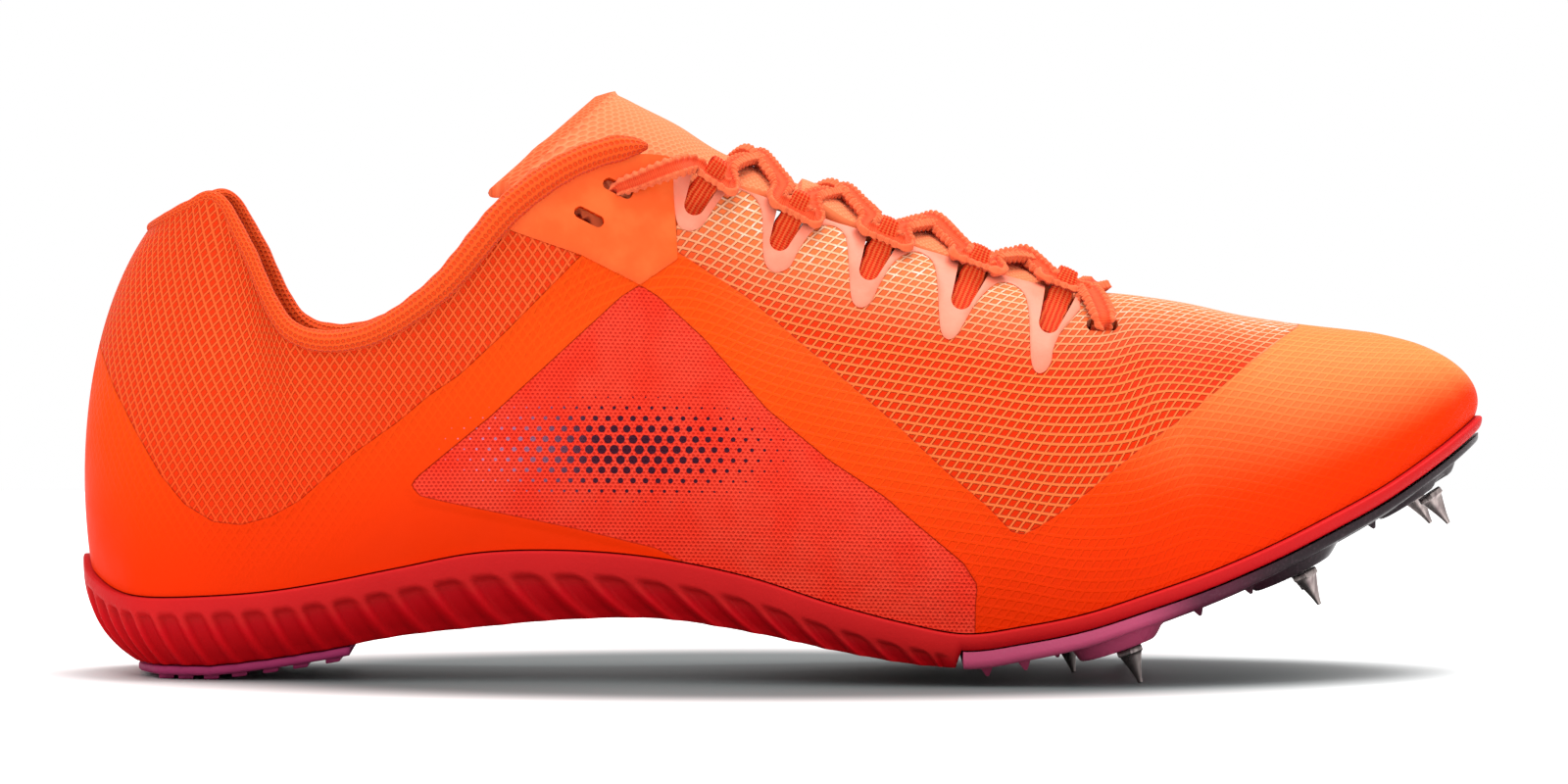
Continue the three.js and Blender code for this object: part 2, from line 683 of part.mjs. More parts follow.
// Flat strip with thinner edges along a path, with its face turned to the given ups
const STRIP_CORNERS = table(["aside", "above"], [
  [0.5, 0],
  [0.36, 0.5],
  [-0.36, 0.5],
  [-0.5, 0],
  [-0.36, -0.5],
  [0.36, -0.5],
]);

function strip(points, ups, width, thickness) {
  const rings = points.map((point, index) => {
    const along = points[Math.min(index + 1, points.length - 1)].clone()
      .sub(points[Math.max(index - 1, 0)]).normalize();
    const across = ups[index].clone().cross(along).normalize();
    const up = along.clone().cross(across).normalize();
    return STRIP_CORNERS.map(({ aside, above }) => point.clone()
      .addScaledVector(across, aside * width).addScaledVector(up, above * thickness));
  });
  return solidFromRings(rings);
}

// Webbing loop in a notch: a flat ring that carries the lace past the throat edge
const LACE_CLEARANCE = 0.5;
const LACE_PASS = LACE_THICKNESS / 2 + LACE_CLEARANCE;
const LOOP_LENGTH = 6;
const LACE_FLOAT = 1.1;

// Place on the upper that a side view shows at x and z, found from a first guess
const SEARCH_ROUNDS = 12;

function upperSeenAt(x, z, side, station, height) {
  let [s, h] = [station, height];
  for (let round = 0; round < SEARCH_ROUNDS; round++) {
    const at = upperPoint(s, side, h);
    const alongStation = upperPoint(s + STATION_STEP, side, h).sub(at).divideScalar(STATION_STEP);
    const alongHeight = upperPoint(s, side, h - HEIGHT_STEP).sub(at).divideScalar(-HEIGHT_STEP);
    const [dx, dz] = [x - at.x, z - at.z];
    const scale = alongStation.x * alongHeight.z - alongStation.z * alongHeight.x;
    s += (dx * alongHeight.z - dz * alongHeight.x) / scale;
    h = Math.min(1, h + (alongStation.x * dz - alongStation.z * dx) / scale);
  }
  return upperPoint(s, side, h);
}

const NOTCH_GUESS = 0.9;

function loopFrame({ station, side, bottom, mouth }) {
  const foot = upperSeenAt(bottom[0], bottom[1], side, station, NOTCH_GUESS);
  const inward = mouth.clone().sub(foot).normalize();
  const ahead = topLine(station + STATION_STEP, side);
  const edge = ahead.sub(topLine(station - STATION_STEP, side)).normalize();
  const normal = inward.clone().cross(edge).multiplyScalar(side).normalize();
  const along = normal.clone().cross(inward).multiplyScalar(side).normalize();
  const lace = mouth.clone().addScaledVector(inward, LOOP_THICKNESS + LACE_PASS)
    .addScaledVector(normal, LACE_THICKNESS / 2 + FILM + LACE_FLOAT);
  return { normal, along, inward, lace };
}

const loopFrames = notches.map((notch) => ({ ...notch, ...loopFrame(notch) }));

function makeLoop(frame) {
  const outerRadius = LACE_PASS + LOOP_THICKNESS;
  const stadium = (radius) => {
    const [near, far] = [[-LOOP_LENGTH, 0], [0, 0]];
    return capsule(near, far, radius, 4).map(([x, y]) => new THREE.Vector2(x, y));
  };
  const shape = new THREE.Shape(stadium(outerRadius));
  shape.holes.push(new THREE.Path(stadium(LACE_PASS)));
  const band = new THREE.ExtrudeGeometry(shape, { depth: LOOP_WIDTH, bevelEnabled: false });
  band.translate(0, 0, -LOOP_WIDTH / 2);
  const across = frame.inward.clone().cross(frame.normal).normalize();
  band.applyMatrix4(new THREE.Matrix4().makeBasis(frame.inward, frame.normal, across));
  band.translate(frame.lace.x, frame.lace.y, frame.lace.z);
  return solidOf(band);
}

// Lace: two runs that zigzag through the loops and cross over the tongue, joined where they meet
const LACE_PULLED = LACE_WIDTH * 0.64;
const LACE_SHARES = [0.3, 0.5, 0.7];
const LACE_LEAD = 1.2;
const LACE_LIFT = 1.1;

const laneOf = (frame) => frame.lace.clone().addScaledVector(frame.inward, -LACE_PULLED / 2);

// Lifts a point of the lace so that it clears the tongue below it
const HALVINGS = 24;

function overTongue(point) {
  let [low, high] = [0, TONGUE.length - 1];
  for (let round = 0; round < HALVINGS; round++) {
    const middle = (low + high) / 2;
    if (tonguePoint(middle, 0, 0).x < point.x) low = middle;
    else high = middle;
  }
  const across = point.y / (tongueRow("half", low) * BALL_WIDTH);
  const clear = tonguePoint(low, across, 0).z + LACE_THICKNESS / 2 + LACE_LIFT;
  return point.setZ(Math.max(point.z, clear));
}

function laceRun(startSide) {
  const stops = [];
  let side = startSide;
  for (let index = NOTCH_STATIONS.length - 1; index >= 0; index--) {
    stops.push(loopFrames.find((frame) => frame.side === side && frame.index === index));
    side = -side;
  }
  return stops;
}

function laceSolid(startSide) {
  const stops = laceRun(startSide);
  const [points, ups] = [[], []];
  const put = (point, up) => {
    points.push(point);
    ups.push(up.clone());
  };
  const top = new THREE.Vector3(0, 0, 1);
  stops.forEach((stop, index) => {
    const reach = LOOP_WIDTH / 2 + FIT;
    const lane = laneOf(stop);
    for (const far of [reach + LACE_LEAD, reach, -reach, -reach - LACE_LEAD]) {
      put(lane.clone().addScaledVector(stop.along, far), stop.normal);
    }
    const next = stops[index + 1];
    if (!next) return;
    for (const share of LACE_SHARES) put(overTongue(lane.clone().lerp(laneOf(next), share)), top);
  });
  return strip(points, ups, LACE_PULLED, LACE_THICKNESS);
}

function makeLace() {
  return largestBody(laceSolid(LATERAL).add(laceSolid(MEDIAL)));
}

// Spike plate, with a pod over each receptacle and small traction teeth
const plateTop = (station, side) => feather(station, side).z - 2 * FIT - RIM_THICKNESS;
const plateThickness = (station) =>
  THREE.MathUtils.mapLinear(station, STEP_STATION, LAST, PLATE_REAR, PLATE_FRONT);

function plateBottomAt(x) {
  let [low, high] = [STEP_STATION, LAST];
  for (let round = 0; round < HALVINGS; round++) {
    const middle = (low + high) / 2;
    if (feather(middle, LATERAL).x < x) low = middle;
    else high = middle;
  }
  return plateTop(low, LATERAL) - plateThickness(low);
}

const TILT_REACH = POD_RADIUS;

function plateTiltAt(x) {
  return Math.atan2(plateBottomAt(x + TILT_REACH) - plateBottomAt(x - TILT_REACH), 2 * TILT_REACH);
}

// Stands a piece made along -Z on the underside of the plate, square to it
function underPlate(geometry, x, y, z) {
  geometry.rotateY(-plateTiltAt(x));
  geometry.translate(x, y, z);
  return geometry;
}

const spikes = SPIKES.map((spike) => {
  const [x, y] = [spike.x * SHOE_LENGTH, spike.y * BALL_WIDTH];
  const rear = spike.name.endsWith("rear");
  const free = plateBottomAt(x) - spike.pod * TAB_HEIGHT;
  const z = rear ? PIN_LENGTH * Math.cos(plateTiltAt(x)) : free;
  return { ...spike, x, y, z };
});

const SEAT_DEPTH = 5;
const POD_FLARE = 1.6;
const POD_ROUNDING = 1.4;
const ROOT = 1;
const PLATE_GAP = 0.04;
const PLATE_STEPS = 20;
const PLATE_EDGE = 0.6;

function makePlate() {
  const start = STEP_STATION + STEP_RUN + PLATE_GAP;
  const rings = stations(start, LAST, PLATE_STEPS).map((station) => {
    const [lateral, medial] = SIDES.map(({ side }) => {
      const out = outward(station, side);
      const edge = feather(station, side).addScaledVector(out, RIM_LEDGE - PLATE_INSET);
      const top = edge.clone().setZ(plateTop(station, side));
      const low = top.clone().setZ(top.z - plateThickness(station) * PLATE_EDGE);
      const tucked = low.clone().addScaledVector(out, -PLATE_REAR / 2).setZ(top.z - plateThickness(station));
      return [top, low, tucked];
    });
    medial.forEach((point, place) => {
      if (point.distanceTo(lateral[place]) < WELD) point.copy(lateral[place]);
    });
    return [...lateral, ...medial.reverse()];
  });
  let plate = solidFromRings(rings);
  for (const spike of spikes) {
    const depth = plateBottomAt(spike.x) - spike.z + ROOT;
    const pod = new THREE.CylinderGeometry(POD_RADIUS + POD_FLARE, POD_RADIUS - POD_ROUNDING, depth, 8);
    pod.rotateX(Math.PI / 2).translate(0, 0, depth / 2 + FIT);
    plate = plate.add(solidOf(underPlate(pod, spike.x, spike.y, spike.z)));
    const seat = new THREE.CylinderGeometry(PIN_FLANGE_RADIUS + FIT, PIN_FLANGE_RADIUS + FIT, SEAT_DEPTH, 6);
    seat.rotateX(Math.PI / 2).translate(0, 0, FIT - SEAT_DEPTH / 2);
    plate = plate.subtract(solidOf(underPlate(seat, spike.x, spike.y, spike.z)));
  }
  for (const tooth of TEETH) {
    const cone = new THREE.ConeGeometry(TOOTH_RADIUS, TOOTH_HEIGHT + ROOT, 4);
    cone.rotateX(-Math.PI / 2).translate(0, 0, (ROOT - TOOTH_HEIGHT) / 2);
    const [x, y] = [tooth.x * SHOE_LENGTH, tooth.y * BALL_WIDTH];
    plate = plate.add(solidOf(underPlate(cone, x, y, plateBottomAt(x))));
  }
  return plate;
}

// Pin with a hexagonal flange, its tip worn flat where it stands on the ground
function makePin(spike) {
  const profile = [[0, 0], [PIN_FLANGE_RADIUS, 0], [PIN_FLANGE_RADIUS, -PIN_FLANGE_HEIGHT],
    [PIN_RADIUS, -PIN_FLANGE_HEIGHT], [PIN_TIP, -PIN_LENGTH], [0, -PIN_LENGTH]];
  const pin = new THREE.LatheGeometry(profile.map(([radius, z]) => new THREE.Vector2(radius, z)), 6);
  pin.rotateX(Math.PI / 2);
  const solid = solidOf(underPlate(pin, spike.x, spike.y, spike.z));
  const ground = new THREE.BoxGeometry(SHOE_LENGTH * 2, BALL_WIDTH * 2, PIN_LENGTH);
  ground.translate(SHOE_LENGTH / 2, 0, -PIN_LENGTH / 2);
  return solid.subtract(solidOf(ground));
}

// Heel rubber: a sheet under the heel with bars across it
const RUBBER_END = 6.3;
const RUBBER_INSET = 0.6;
const LUG_INSET = 2;
const LUG_FIRST_STATION = 3.05;
const LUG_STATIONS = 0.5;
const LUG_COUNT = 7;
const REST_LUG = 1;
const RUBBER_STEPS = 16;
const LUG_TILT_REACH = 0.2;
const lugStation = (lug) => LUG_FIRST_STATION + lug * LUG_STATIONS;
const lugEnd = (station, side) => feather(station, side)
  .addScaledVector(outward(station, side), -soleTuck(station, side) - LUG_INSET);

function rubberTop(station) {
  return soleBottom(station, LATERAL) - FIT;
}

function makeHeelRubber() {
  const rings = stations(0, RUBBER_END, RUBBER_STEPS).map((station) => {
    const [lateral, medial] = SIDES.map(({ side }) => {
      const reach = -soleTuck(station, side) - RUBBER_INSET;
      const edge = feather(station, side).addScaledVector(outward(station, side), reach);
      const top = edge.clone().setZ(rubberTop(station));
      return [top, edge.clone().setZ(top.z - RUBBER_THICKNESS)];
    });
    medial.forEach((point, place) => {
      if (point.distanceTo(lateral[place]) < WELD) point.copy(lateral[place]);
    });
    return [...lateral, ...medial.reverse()];
  });
  let rubber = solidFromRings(rings);
  for (let lug = 0; lug < LUG_COUNT; lug++) {
    const station = lugStation(lug);
    const [lateral, medial] = SIDES.map(({ side }) => lugEnd(station, side));
    const depth = LUG_HEIGHT + RUBBER_THICKNESS / 2;
    const bar = new THREE.BoxGeometry(LUG_WIDTH, medial.y - lateral.y, depth);
    const low = rubberTop(station) - RUBBER_THICKNESS - LUG_HEIGHT;
    const [ahead, behind] = [station + LUG_TILT_REACH, station - LUG_TILT_REACH];
    const run = feather(ahead, LATERAL).x - feather(behind, LATERAL).x;
    bar.rotateY(-Math.atan2(rubberTop(ahead) - rubberTop(behind), run));
    bar.translate(lateral.x, (lateral.y + medial.y) / 2, low + depth / 2);
    rubber = rubber.add(solidOf(bar));
  }
  return rubber;
}

// Materials, with the colours of the real shoe
const paint = (color, roughness, metalness = 0) => new THREE.MeshStandardMaterial({ color, roughness, metalness });
const ORANGE = paint("#ff5a1e", 0.7);
const CORAL = paint("#ff8f78", 0.45);
const KNIT = paint("#f9552c", 0.85);
const PEACH = paint("#fd9060", 0.8);
const RED_FOAM = paint("#b81420", 0.6);
const PINK_RUBBER = paint("#a83f6c", 0.6);
const PLATE = paint("#5a2a44", 0.35);
const METAL = paint("#b4a4a3", 0.35, 0.8);
const LACE_CORD = paint("#fb6a44", 0.85);

const shoe = new THREE.Group();
shoe.name = "track_spike_shoe";

function addPiece(name, solid, material) {
  const mesh = new THREE.Mesh(geometryOf(solid), material);
  mesh.name = name;
  shoe.add(mesh);
}

addPiece("upper", makeUpper(), ORANGE);
addPiece("midsole", makeMidsole(), RED_FOAM);
addPiece("insole", makeInsole(), KNIT);
addPiece("tongue", makeTongue(), PEACH);
addPiece("collar_roll", makeCollarRoll(), KNIT);
addPiece("heel_outsole", makeHeelRubber(), PINK_RUBBER);
addPiece("spike_plate", makePlate(), PLATE);
for (const { side, name } of SIDES) {
  addPiece(`top_eyelet_panel_${name}`, makeTopPanel(side), ORANGE);
  addPiece(`eyestay_film_${name}`, makeEyestay(side), CORAL);
}
for (const frame of loopFrames) {
  addPiece(`lace_loop_${frame.name}_${frame.index + 1}`, makeLoop(frame), KNIT);
}
addPiece("lace_crossings", makeLace(), LACE_CORD);
for (const spike of spikes) addPiece(`spike_pin_${spike.name}`, makePin(spike), METAL);

// The origin lies under the heel, on the ground face of one of its bars, a little ahead of its middle
shoe.position.x = -lugEnd(lugStation(REST_LUG), LATERAL).x - LUG_WIDTH / 4;

export default shoe;
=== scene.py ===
"""Track spike shoe for the right foot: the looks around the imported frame. Millimetres until the meshes are made."""
import math

import bmesh
import bpy
import numpy as np
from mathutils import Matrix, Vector


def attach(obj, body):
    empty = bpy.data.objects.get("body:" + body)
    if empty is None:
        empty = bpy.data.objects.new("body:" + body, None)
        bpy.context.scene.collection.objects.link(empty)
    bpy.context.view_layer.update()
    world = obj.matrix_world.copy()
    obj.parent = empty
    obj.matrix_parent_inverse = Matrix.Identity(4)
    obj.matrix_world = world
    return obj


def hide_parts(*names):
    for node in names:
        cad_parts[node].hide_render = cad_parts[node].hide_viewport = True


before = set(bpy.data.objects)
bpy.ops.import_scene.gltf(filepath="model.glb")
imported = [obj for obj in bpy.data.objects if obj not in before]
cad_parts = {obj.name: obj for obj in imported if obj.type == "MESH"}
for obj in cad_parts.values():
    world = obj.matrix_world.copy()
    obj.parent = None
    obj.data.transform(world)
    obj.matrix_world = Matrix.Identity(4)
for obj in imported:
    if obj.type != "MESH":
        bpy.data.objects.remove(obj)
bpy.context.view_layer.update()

# Sizes shared with the part's source
LENGTH, WIDTH, HEIGHT = 287.0, 94.0, 100.0
WALL, FIT, FILM = 2.0, 0.3, 0.6
RIM_LEDGE, RIM_THICKNESS = 1.4, 3.2
RIB_BAND, RIB_DEPTH, RIBS = 3.4, 1.5, 30
INSOLE_THICKNESS, INSOLE_CLEARANCE = 3.0, 1.0
TONGUE_THICKNESS, TONGUE_CLEARANCE = 3.0, 0.5
NOTCH_RADIUS, NOTCH_DEPTH, NOTCH_LEAN = 3.1, 8.4, 3.2
SLOT_LENGTH, SLOT_HEIGHT, SLOT_TILT = 6.6, 2.4, math.radians(27)
LOOP_WIDTH, LOOP_THICKNESS, LOOP_LENGTH = 4.4, 1.1, 6.0
LACE_WIDTH, LACE_THICKNESS = 5.2, 2.0
LACE_PASS = LACE_THICKNESS / 2 + 0.5
LACE_FLOAT = 1.1
LACE_PULLED = LACE_WIDTH * 0.8
LACE_SUNK = 2.2
PLATE_REAR, PLATE_FRONT, PLATE_INSET = 3.6, 2.0, 0.8
PIN_LENGTH, PIN_RADIUS, PIN_TIP = 7.4, 2.3, 0.45
PIN_FLANGE_RADIUS, PIN_FLANGE_HEIGHT = 3.0, 1.2
POD_RADIUS, POD_SET_BACK, POD_STRETCH = 5.6, 2.2, 1.22
TOOTH_RADIUS, TOOTH_HEIGHT = 1.6, 2.2
RUBBER_THICKNESS, LUG_HEIGHT, LUG_WIDTH = 1.8, 0.9, 3.0
HEEL_LEVEL = RUBBER_THICKNESS + LUG_HEIGHT + FIT
STEP_STATION, STEP_RUN = 13.8, 0.12
LATERAL, MEDIAL = -1, 1
SIDES = (LATERAL, MEDIAL)


def table(names, rows):
    return {name: np.array([row[place] for row in rows], float) for place, name in enumerate(names)}


# Rows go from the heel back to the toe tip; shares of LENGTH, WIDTH and HEIGHT, as in the part's source
FEATHER = table(("x", "lateral", "medial", "lateral_z", "medial_z"), [
    (0.006, 0.0, 0.0, 0.248, 0.248),
    (0.011, 0.106, 0.106, 0.215, 0.215),
    (0.029, 0.202, 0.202, 0.182, 0.182),
    (0.052, 0.266, 0.266, 0.171, 0.171),
    (0.091, 0.303, 0.303, 0.174, 0.174),
    (0.136, 0.314, 0.312, 0.184, 0.186),
    (0.181, 0.312, 0.302, 0.204, 0.208),
    (0.23, 0.306, 0.281, 0.232, 0.24),
    (0.286, 0.302, 0.26, 0.262, 0.276),
    (0.348, 0.309, 0.251, 0.267, 0.286),
    (0.411, 0.332, 0.264, 0.253, 0.27),
    (0.474, 0.368, 0.294, 0.218, 0.228),
    (0.533, 0.409, 0.332, 0.166, 0.17),
    (0.585, 0.443, 0.368, 0.128, 0.128),
    (0.627, 0.462, 0.398, 0.108, 0.108),
    (0.669, 0.472, 0.426, 0.124, 0.124),
    (0.711, 0.472, 0.445, 0.149, 0.149),
    (0.753, 0.458, 0.455, 0.187, 0.187),
    (0.798, 0.428, 0.449, 0.231, 0.231),
    (0.843, 0.385, 0.427, 0.284, 0.284),
    (0.885, 0.326, 0.387, 0.341, 0.341),
    (0.923, 0.253, 0.33, 0.396, 0.396),
    (0.956, 0.166, 0.255, 0.454, 0.454),
    (0.981, 0.068, 0.158, 0.502, 0.502),
    (0.994, -0.043, 0.043, 0.528, 0.528),
])
TOP = table(("x", "centre", "gap", "z", "rise", "bulge", "drop", "lean"), [
    (0.047, 0.0, 0.0, 0.904, 0.28, 0.064, 0.28, 0.101),
    (0.052, 0.0, 0.067, 0.912, 0.29, 0.065, 0.28, 0.087),
    (0.063, 0.0, 0.126, 0.928, 0.3, 0.067, 0.28, 0.053),
    (0.079, 0.0, 0.17, 0.95, 0.32, 0.069, 0.29, 0.021),
    (0.099, 0.0, 0.202, 0.966, 0.33, 0.069, 0.3, 0.009),
    (0.118, 0.0, 0.223, 0.872, 0.33, 0.064, 0.3, 0.005),
    (0.15, 0.0, 0.251, 0.698, 0.34, 0.049, 0.3, 0.004),
    (0.203, 0.0, 0.274, 0.679, 0.35, 0.04, 0.3, 0.004),
    (0.261, 0.0, 0.289, 0.776, 0.35, 0.038, 0.3, 0.005),
    (0.314, 0.0, 0.279, 0.946, 0.34, 0.049, 0.3, 0.009),
    (0.364, 0.0, 0.251, 1.039, 0.34, 0.064, 0.28, 0.017),
    (0.415, 0.0, 0.215, 1.058, 0.33, 0.085, 0.25, 0.036),
    (0.476, 0.0, 0.168, 0.984, 0.33, 0.111, 0.2, 0.074),
    (0.533, 0.0, 0.147, 0.924, 0.32, 0.134, 0.15, 0.128),
    (0.578, 0.0, 0.14, 0.884, 0.32, 0.149, 0.12, 0.16),
    (0.62, 0.0, 0.136, 0.846, 0.32, 0.16, 0.1, 0.181),
    (0.666, 0.0, 0.123, 0.804, 0.33, 0.17, 0.07, 0.202),
    (0.707, 0.0, 0.077, 0.779, 0.35, 0.181, 0.03, 0.223),
    (0.739, 0.0, 0.0, 0.776, 0.38, 0.191, 0.0, 0.234),
    (0.784, 0.008, 0.0, 0.758, 0.4, 0.187, 0.0, 0.223),
    (0.822, 0.017, 0.0, 0.734, 0.42, 0.177, 0.0, 0.209),
    (0.854, 0.026, 0.0, 0.72, 0.43, 0.164, 0.0, 0.191),
    (0.878, 0.033, 0.0, 0.711, 0.43, 0.153, 0.0, 0.181),
    (0.899, 0.038, 0.0, 0.704, 0.42, 0.14, 0.0, 0.181),
    (0.913, 0.043, 0.0, 0.699, 0.42, 0.134, 0.0, 0.181),
])
SOLE = table(("rise", "tuck"), [
    (0.0, 0.106), (0.0, 0.096), (0.0, 0.074), (0.0, 0.053), (0.0, 0.047), (0.014, 0.043), (0.034, 0.04),
    (0.06, 0.037), (0.078, 0.034), (0.094, 0.032), (0.097, 0.03), (0.072, 0.028), (0.038, 0.025),
    (0.014, 0.022), (0.006, 0.02),
])
RIB_SLANT = ((0, 0.0), (2, 0.45), (5, 0.5), (10, 0.62), (13, 0.4), (STEP_STATION, 0.0))
ROLL_END = 10.8
ROLL = ((0, 1.1), (4, 1.2), (5.2, 1.6), (6.5, 2.3), (9, 3.0), (ROLL_END, 2.8))
TONGUE = table(("x", "crown", "half", "fall", "sweep"), [
    (0.371, 1.192, 0.213, 0.2, 0.07),
    (0.392, 1.168, 0.218, 0.155, 0.046),
    (0.424, 1.12, 0.218, 0.118, 0.021),
    (0.46, 1.052, 0.218, 0.098, 0.007),
    (0.526, 0.966, 0.204, 0.08, 0),
    (0.589, 0.9, 0.192, 0.07, 0),
    (0.654, 0.832, 0.18, 0.064, 0),
    (0.7, 0.782, 0.16, 0.06, 0),
    (0.735, 0.742, 0.128, 0.05, 0),
])
NOTCH_STATIONS = (11.55, 12.55, 13.85, 15.35, 16.75)
SPIKES = (
    ("lateral_rear", 0.742, -0.33, 0.026),
    ("medial_rear", 0.742, 0.34, 0.026),
    ("central_rear", 0.701, 0.01, 0.02),
    ("lateral_middle", 0.866, -0.25, 0.03),
    ("medial_middle", 0.866, 0.31, 0.03),
    ("lateral_front", 0.958, -0.08, 0.026),
    ("medial_front", 0.952, 0.19, 0.026),
)
TEETH = (
    (0.642, -0.36), (0.642, 0.28), (0.668, -0.39), (0.668, 0.33), (0.692, -0.2), (0.692, 0.2),
    (0.79, -0.31), (0.79, 0.34), (0.803, 0.02), (0.826, -0.27), (0.826, 0.32),
    (0.9, 0.05), (0.915, -0.12), (0.915, 0.25),
)
TOP_SLOTS = ((0.3635, 0.936), (0.3835, 0.993))
FRONT_SLOT = (0.7245, 0.718)
LAST = len(FEATHER["x"]) - 1
RIDGE_START = 18


# The shoe's surface
def smooth(low, high, value):
    t = np.clip((np.asarray(value, float) - low) / (high - low), 0, 1)
    return t * t * (3 - 2 * t)


def hermite(a, b, c, d, t):
    t2, t3 = t * t, t * t * t
    return (b * (2 * t3 - 3 * t2 + 1) + (c - a) / 2 * (t3 - 2 * t2 + t)
            + c * (3 * t2 - 2 * t3) + (d - b) / 2 * (t3 - t2))


def spline(own, other, station):
    """Smooth value at a station; past the heel or the toe the rows go on along the other side."""
    pad = 3
    rows = np.concatenate([other[pad:0:-1], own, other[-2:-2 - pad:-1]])
    place = np.asarray(station, float) + pad
    first = np.clip(np.floor(place).astype(int), 1, len(rows) - 3)
    return hermite(rows[first - 1], rows[first], rows[first + 1], rows[first + 2], place - first)


def stack(x, y, z):
    return np.stack(np.broadcast_arrays(x, y, z), axis=-1).astype(float)


def feather(station, side):
    own, other = ("medial", "lateral") if side == MEDIAL else ("lateral", "medial")
    return stack(
        spline(FEATHER["x"], FEATHER["x"], station) * LENGTH,
        spline(side * FEATHER[own], -side * FEATHER[other], station) * WIDTH,
        spline(FEATHER[own + "_z"], FEATHER[other + "_z"], station) * HEIGHT,
    )


def share(column, station):
    return spline(TOP[column], TOP[column], station)


def top_line(station, side):
    station = np.asarray(station, float)
    gap = spline(side * TOP["gap"], -side * TOP["gap"], station)
    gap = np.where(station >= RIDGE_START, 0, np.where(station < 0, gap, side * np.maximum(0, side * gap)))
    return stack(share("x", station) * LENGTH, (share("centre", station) + gap) * WIDTH, share("z", station) * HEIGHT)


def unit(vectors):
    return vectors / np.maximum(np.linalg.norm(vectors, axis=-1, keepdims=True), 1e-9)


STEP = 0.02


def outward(station, side):
    along = feather(np.asarray(station) + STEP, side) - feather(np.asarray(station) - STEP, side)
    along[..., 2] = 0
    along = unit(along)
    return stack(-side * along[..., 1], side * along[..., 0], np.zeros_like(along[..., 0]))


def ridge_slope(station):
    behind = top_line(np.maximum(np.asarray(station) - STEP, 0), MEDIAL)
    ahead = top_line(np.minimum(np.asarray(station) + STEP, LAST), MEDIAL)
    return (ahead[..., 2] - behind[..., 2]) / (ahead[..., 0] - behind[..., 0])


def upper_point(station, side, height):
    """Outer surface of the upper, from the sole at height 0 to the top line at 1."""
    station, height = np.broadcast_arrays(np.asarray(station, float), np.asarray(height, float))
    foot, top, out = feather(station, side), top_line(station, side), outward(station, side)
    chord = top - foot
    lean = out * (share("lean", station) * WIDTH)[..., None]
    on_ridge = smooth(RIDGE_START - 2, RIDGE_START, station)
    lean[..., 2] += on_ridge * ridge_slope(station) * lean[..., 0]
    low = foot + chord * share("rise", station)[..., None] + out * (share("bulge", station) * WIDTH)[..., None]
    drop = np.where(station >= RIDGE_START, 0, share("drop", station))
    high = top - chord * drop[..., None] + lean
    h = height[..., None]
    rest = 1 - h
    return foot * rest**3 + low * 3 * rest * rest * h + high * 3 * rest * h * h + top * h**3


def upper_normal(station, side, height):
    station, height = np.broadcast_arrays(np.asarray(station, float), np.asarray(height, float))
    middle = np.clip(height, STEP, 1 - STEP)
    along = upper_point(station + STEP, side, middle) - upper_point(station - STEP, side, middle)
    up = upper_point(station, side, middle + STEP) - upper_point(station, side, middle - STEP)
    normal = unit(np.cross(along, up) * -side)
    slope = ridge_slope(station)
    ridge = unit(stack(-slope, np.zeros_like(slope), np.ones_like(slope)))
    on_ridge = ((station >= RIDGE_START) & (height > 1 - STEP))[..., None]
    return np.where(on_ridge, ridge, normal)


def seen_at(x, z, side, station, height):
    """Station and height of the place that a side view shows at x and z, from a first guess."""
    s, h = float(station), float(height)
    for _ in range(14):
        at = upper_point(s, side, h)
        along = (upper_point(s + STEP, side, h) - at) / STEP
        up = (upper_point(s, side, h - STEP) - at) / -STEP
        dx, dz = x - at[0], z - at[2]
        scale = along[0] * up[2] - along[2] * up[0]
        s += (dx * up[2] - dz * up[0]) / scale
        h = min(1.0, h + (along[0] * dz - along[2] * dx) / scale)
    return s, h


def sole_bottom(station, side):
    station = np.asarray(station, float)
    thin = feather(station, side)[..., 2] - FIT - RIM_THICKNESS
    rise = np.concatenate([SOLE["rise"], np.full(LAST + 1 - len(SOLE["rise"]), SOLE["rise"][-1])])
    thick = HEEL_LEVEL + np.maximum(0, spline(rise, rise, np.minimum(station, STEP_STATION))) * HEIGHT
    t = np.clip((station - STEP_STATION) / STEP_RUN, 0, 1)
    return np.minimum(thin, thick + (thin - thick) * t)


def sole_tuck(station, side):
    station = np.asarray(station, float)
    tuck = np.concatenate([SOLE["tuck"], np.full(LAST + 1 - len(SOLE["tuck"]), SOLE["tuck"][-1])])
    fade = np.clip((STEP_STATION + STEP_RUN - station) / STEP_RUN, 0, 1)
    return spline(tuck, tuck, np.minimum(station, STEP_STATION)) * WIDTH * fade


def between(rows, station):
    xs = np.array([row[0] for row in rows], float)
    ys = np.array([row[1] for row in rows], float)
    station = np.clip(station, xs[0], xs[-1])
    place = np.clip(np.searchsorted(xs, station, side="right") - 1, 0, len(xs) - 2)
    t = (station - xs[place]) / (xs[place + 1] - xs[place])
    return ys[place] + (ys[place + 1] - ys[place]) * t * t * (3 - 2 * t)


LUG_FIRST, LUG_EVERY, LUG_COUNT, LUG_INSET = 3.05, 0.5, 7, 2.0
RUBBER_END, RUBBER_INSET = 6.3, 0.6


def lug_end(station, side):
    reach = -sole_tuck(station, side) - LUG_INSET
    return feather(station, side) + outward(station, side) * np.asarray(reach)[..., None]


ORIGIN_X = float(lug_end(LUG_FIRST + LUG_EVERY, LATERAL)[0]) + LUG_WIDTH / 4


def metres(points):
    moved = np.array(points, float)
    moved[..., 0] -= ORIGIN_X
    return moved * 0.001


# Side view of the photograph: 0.2 mm a pixel
PIXEL = 0.2


def from_pixels(points):
    return [((x - 82) * PIXEL, (688 - y) * PIXEL) for x, y in points]


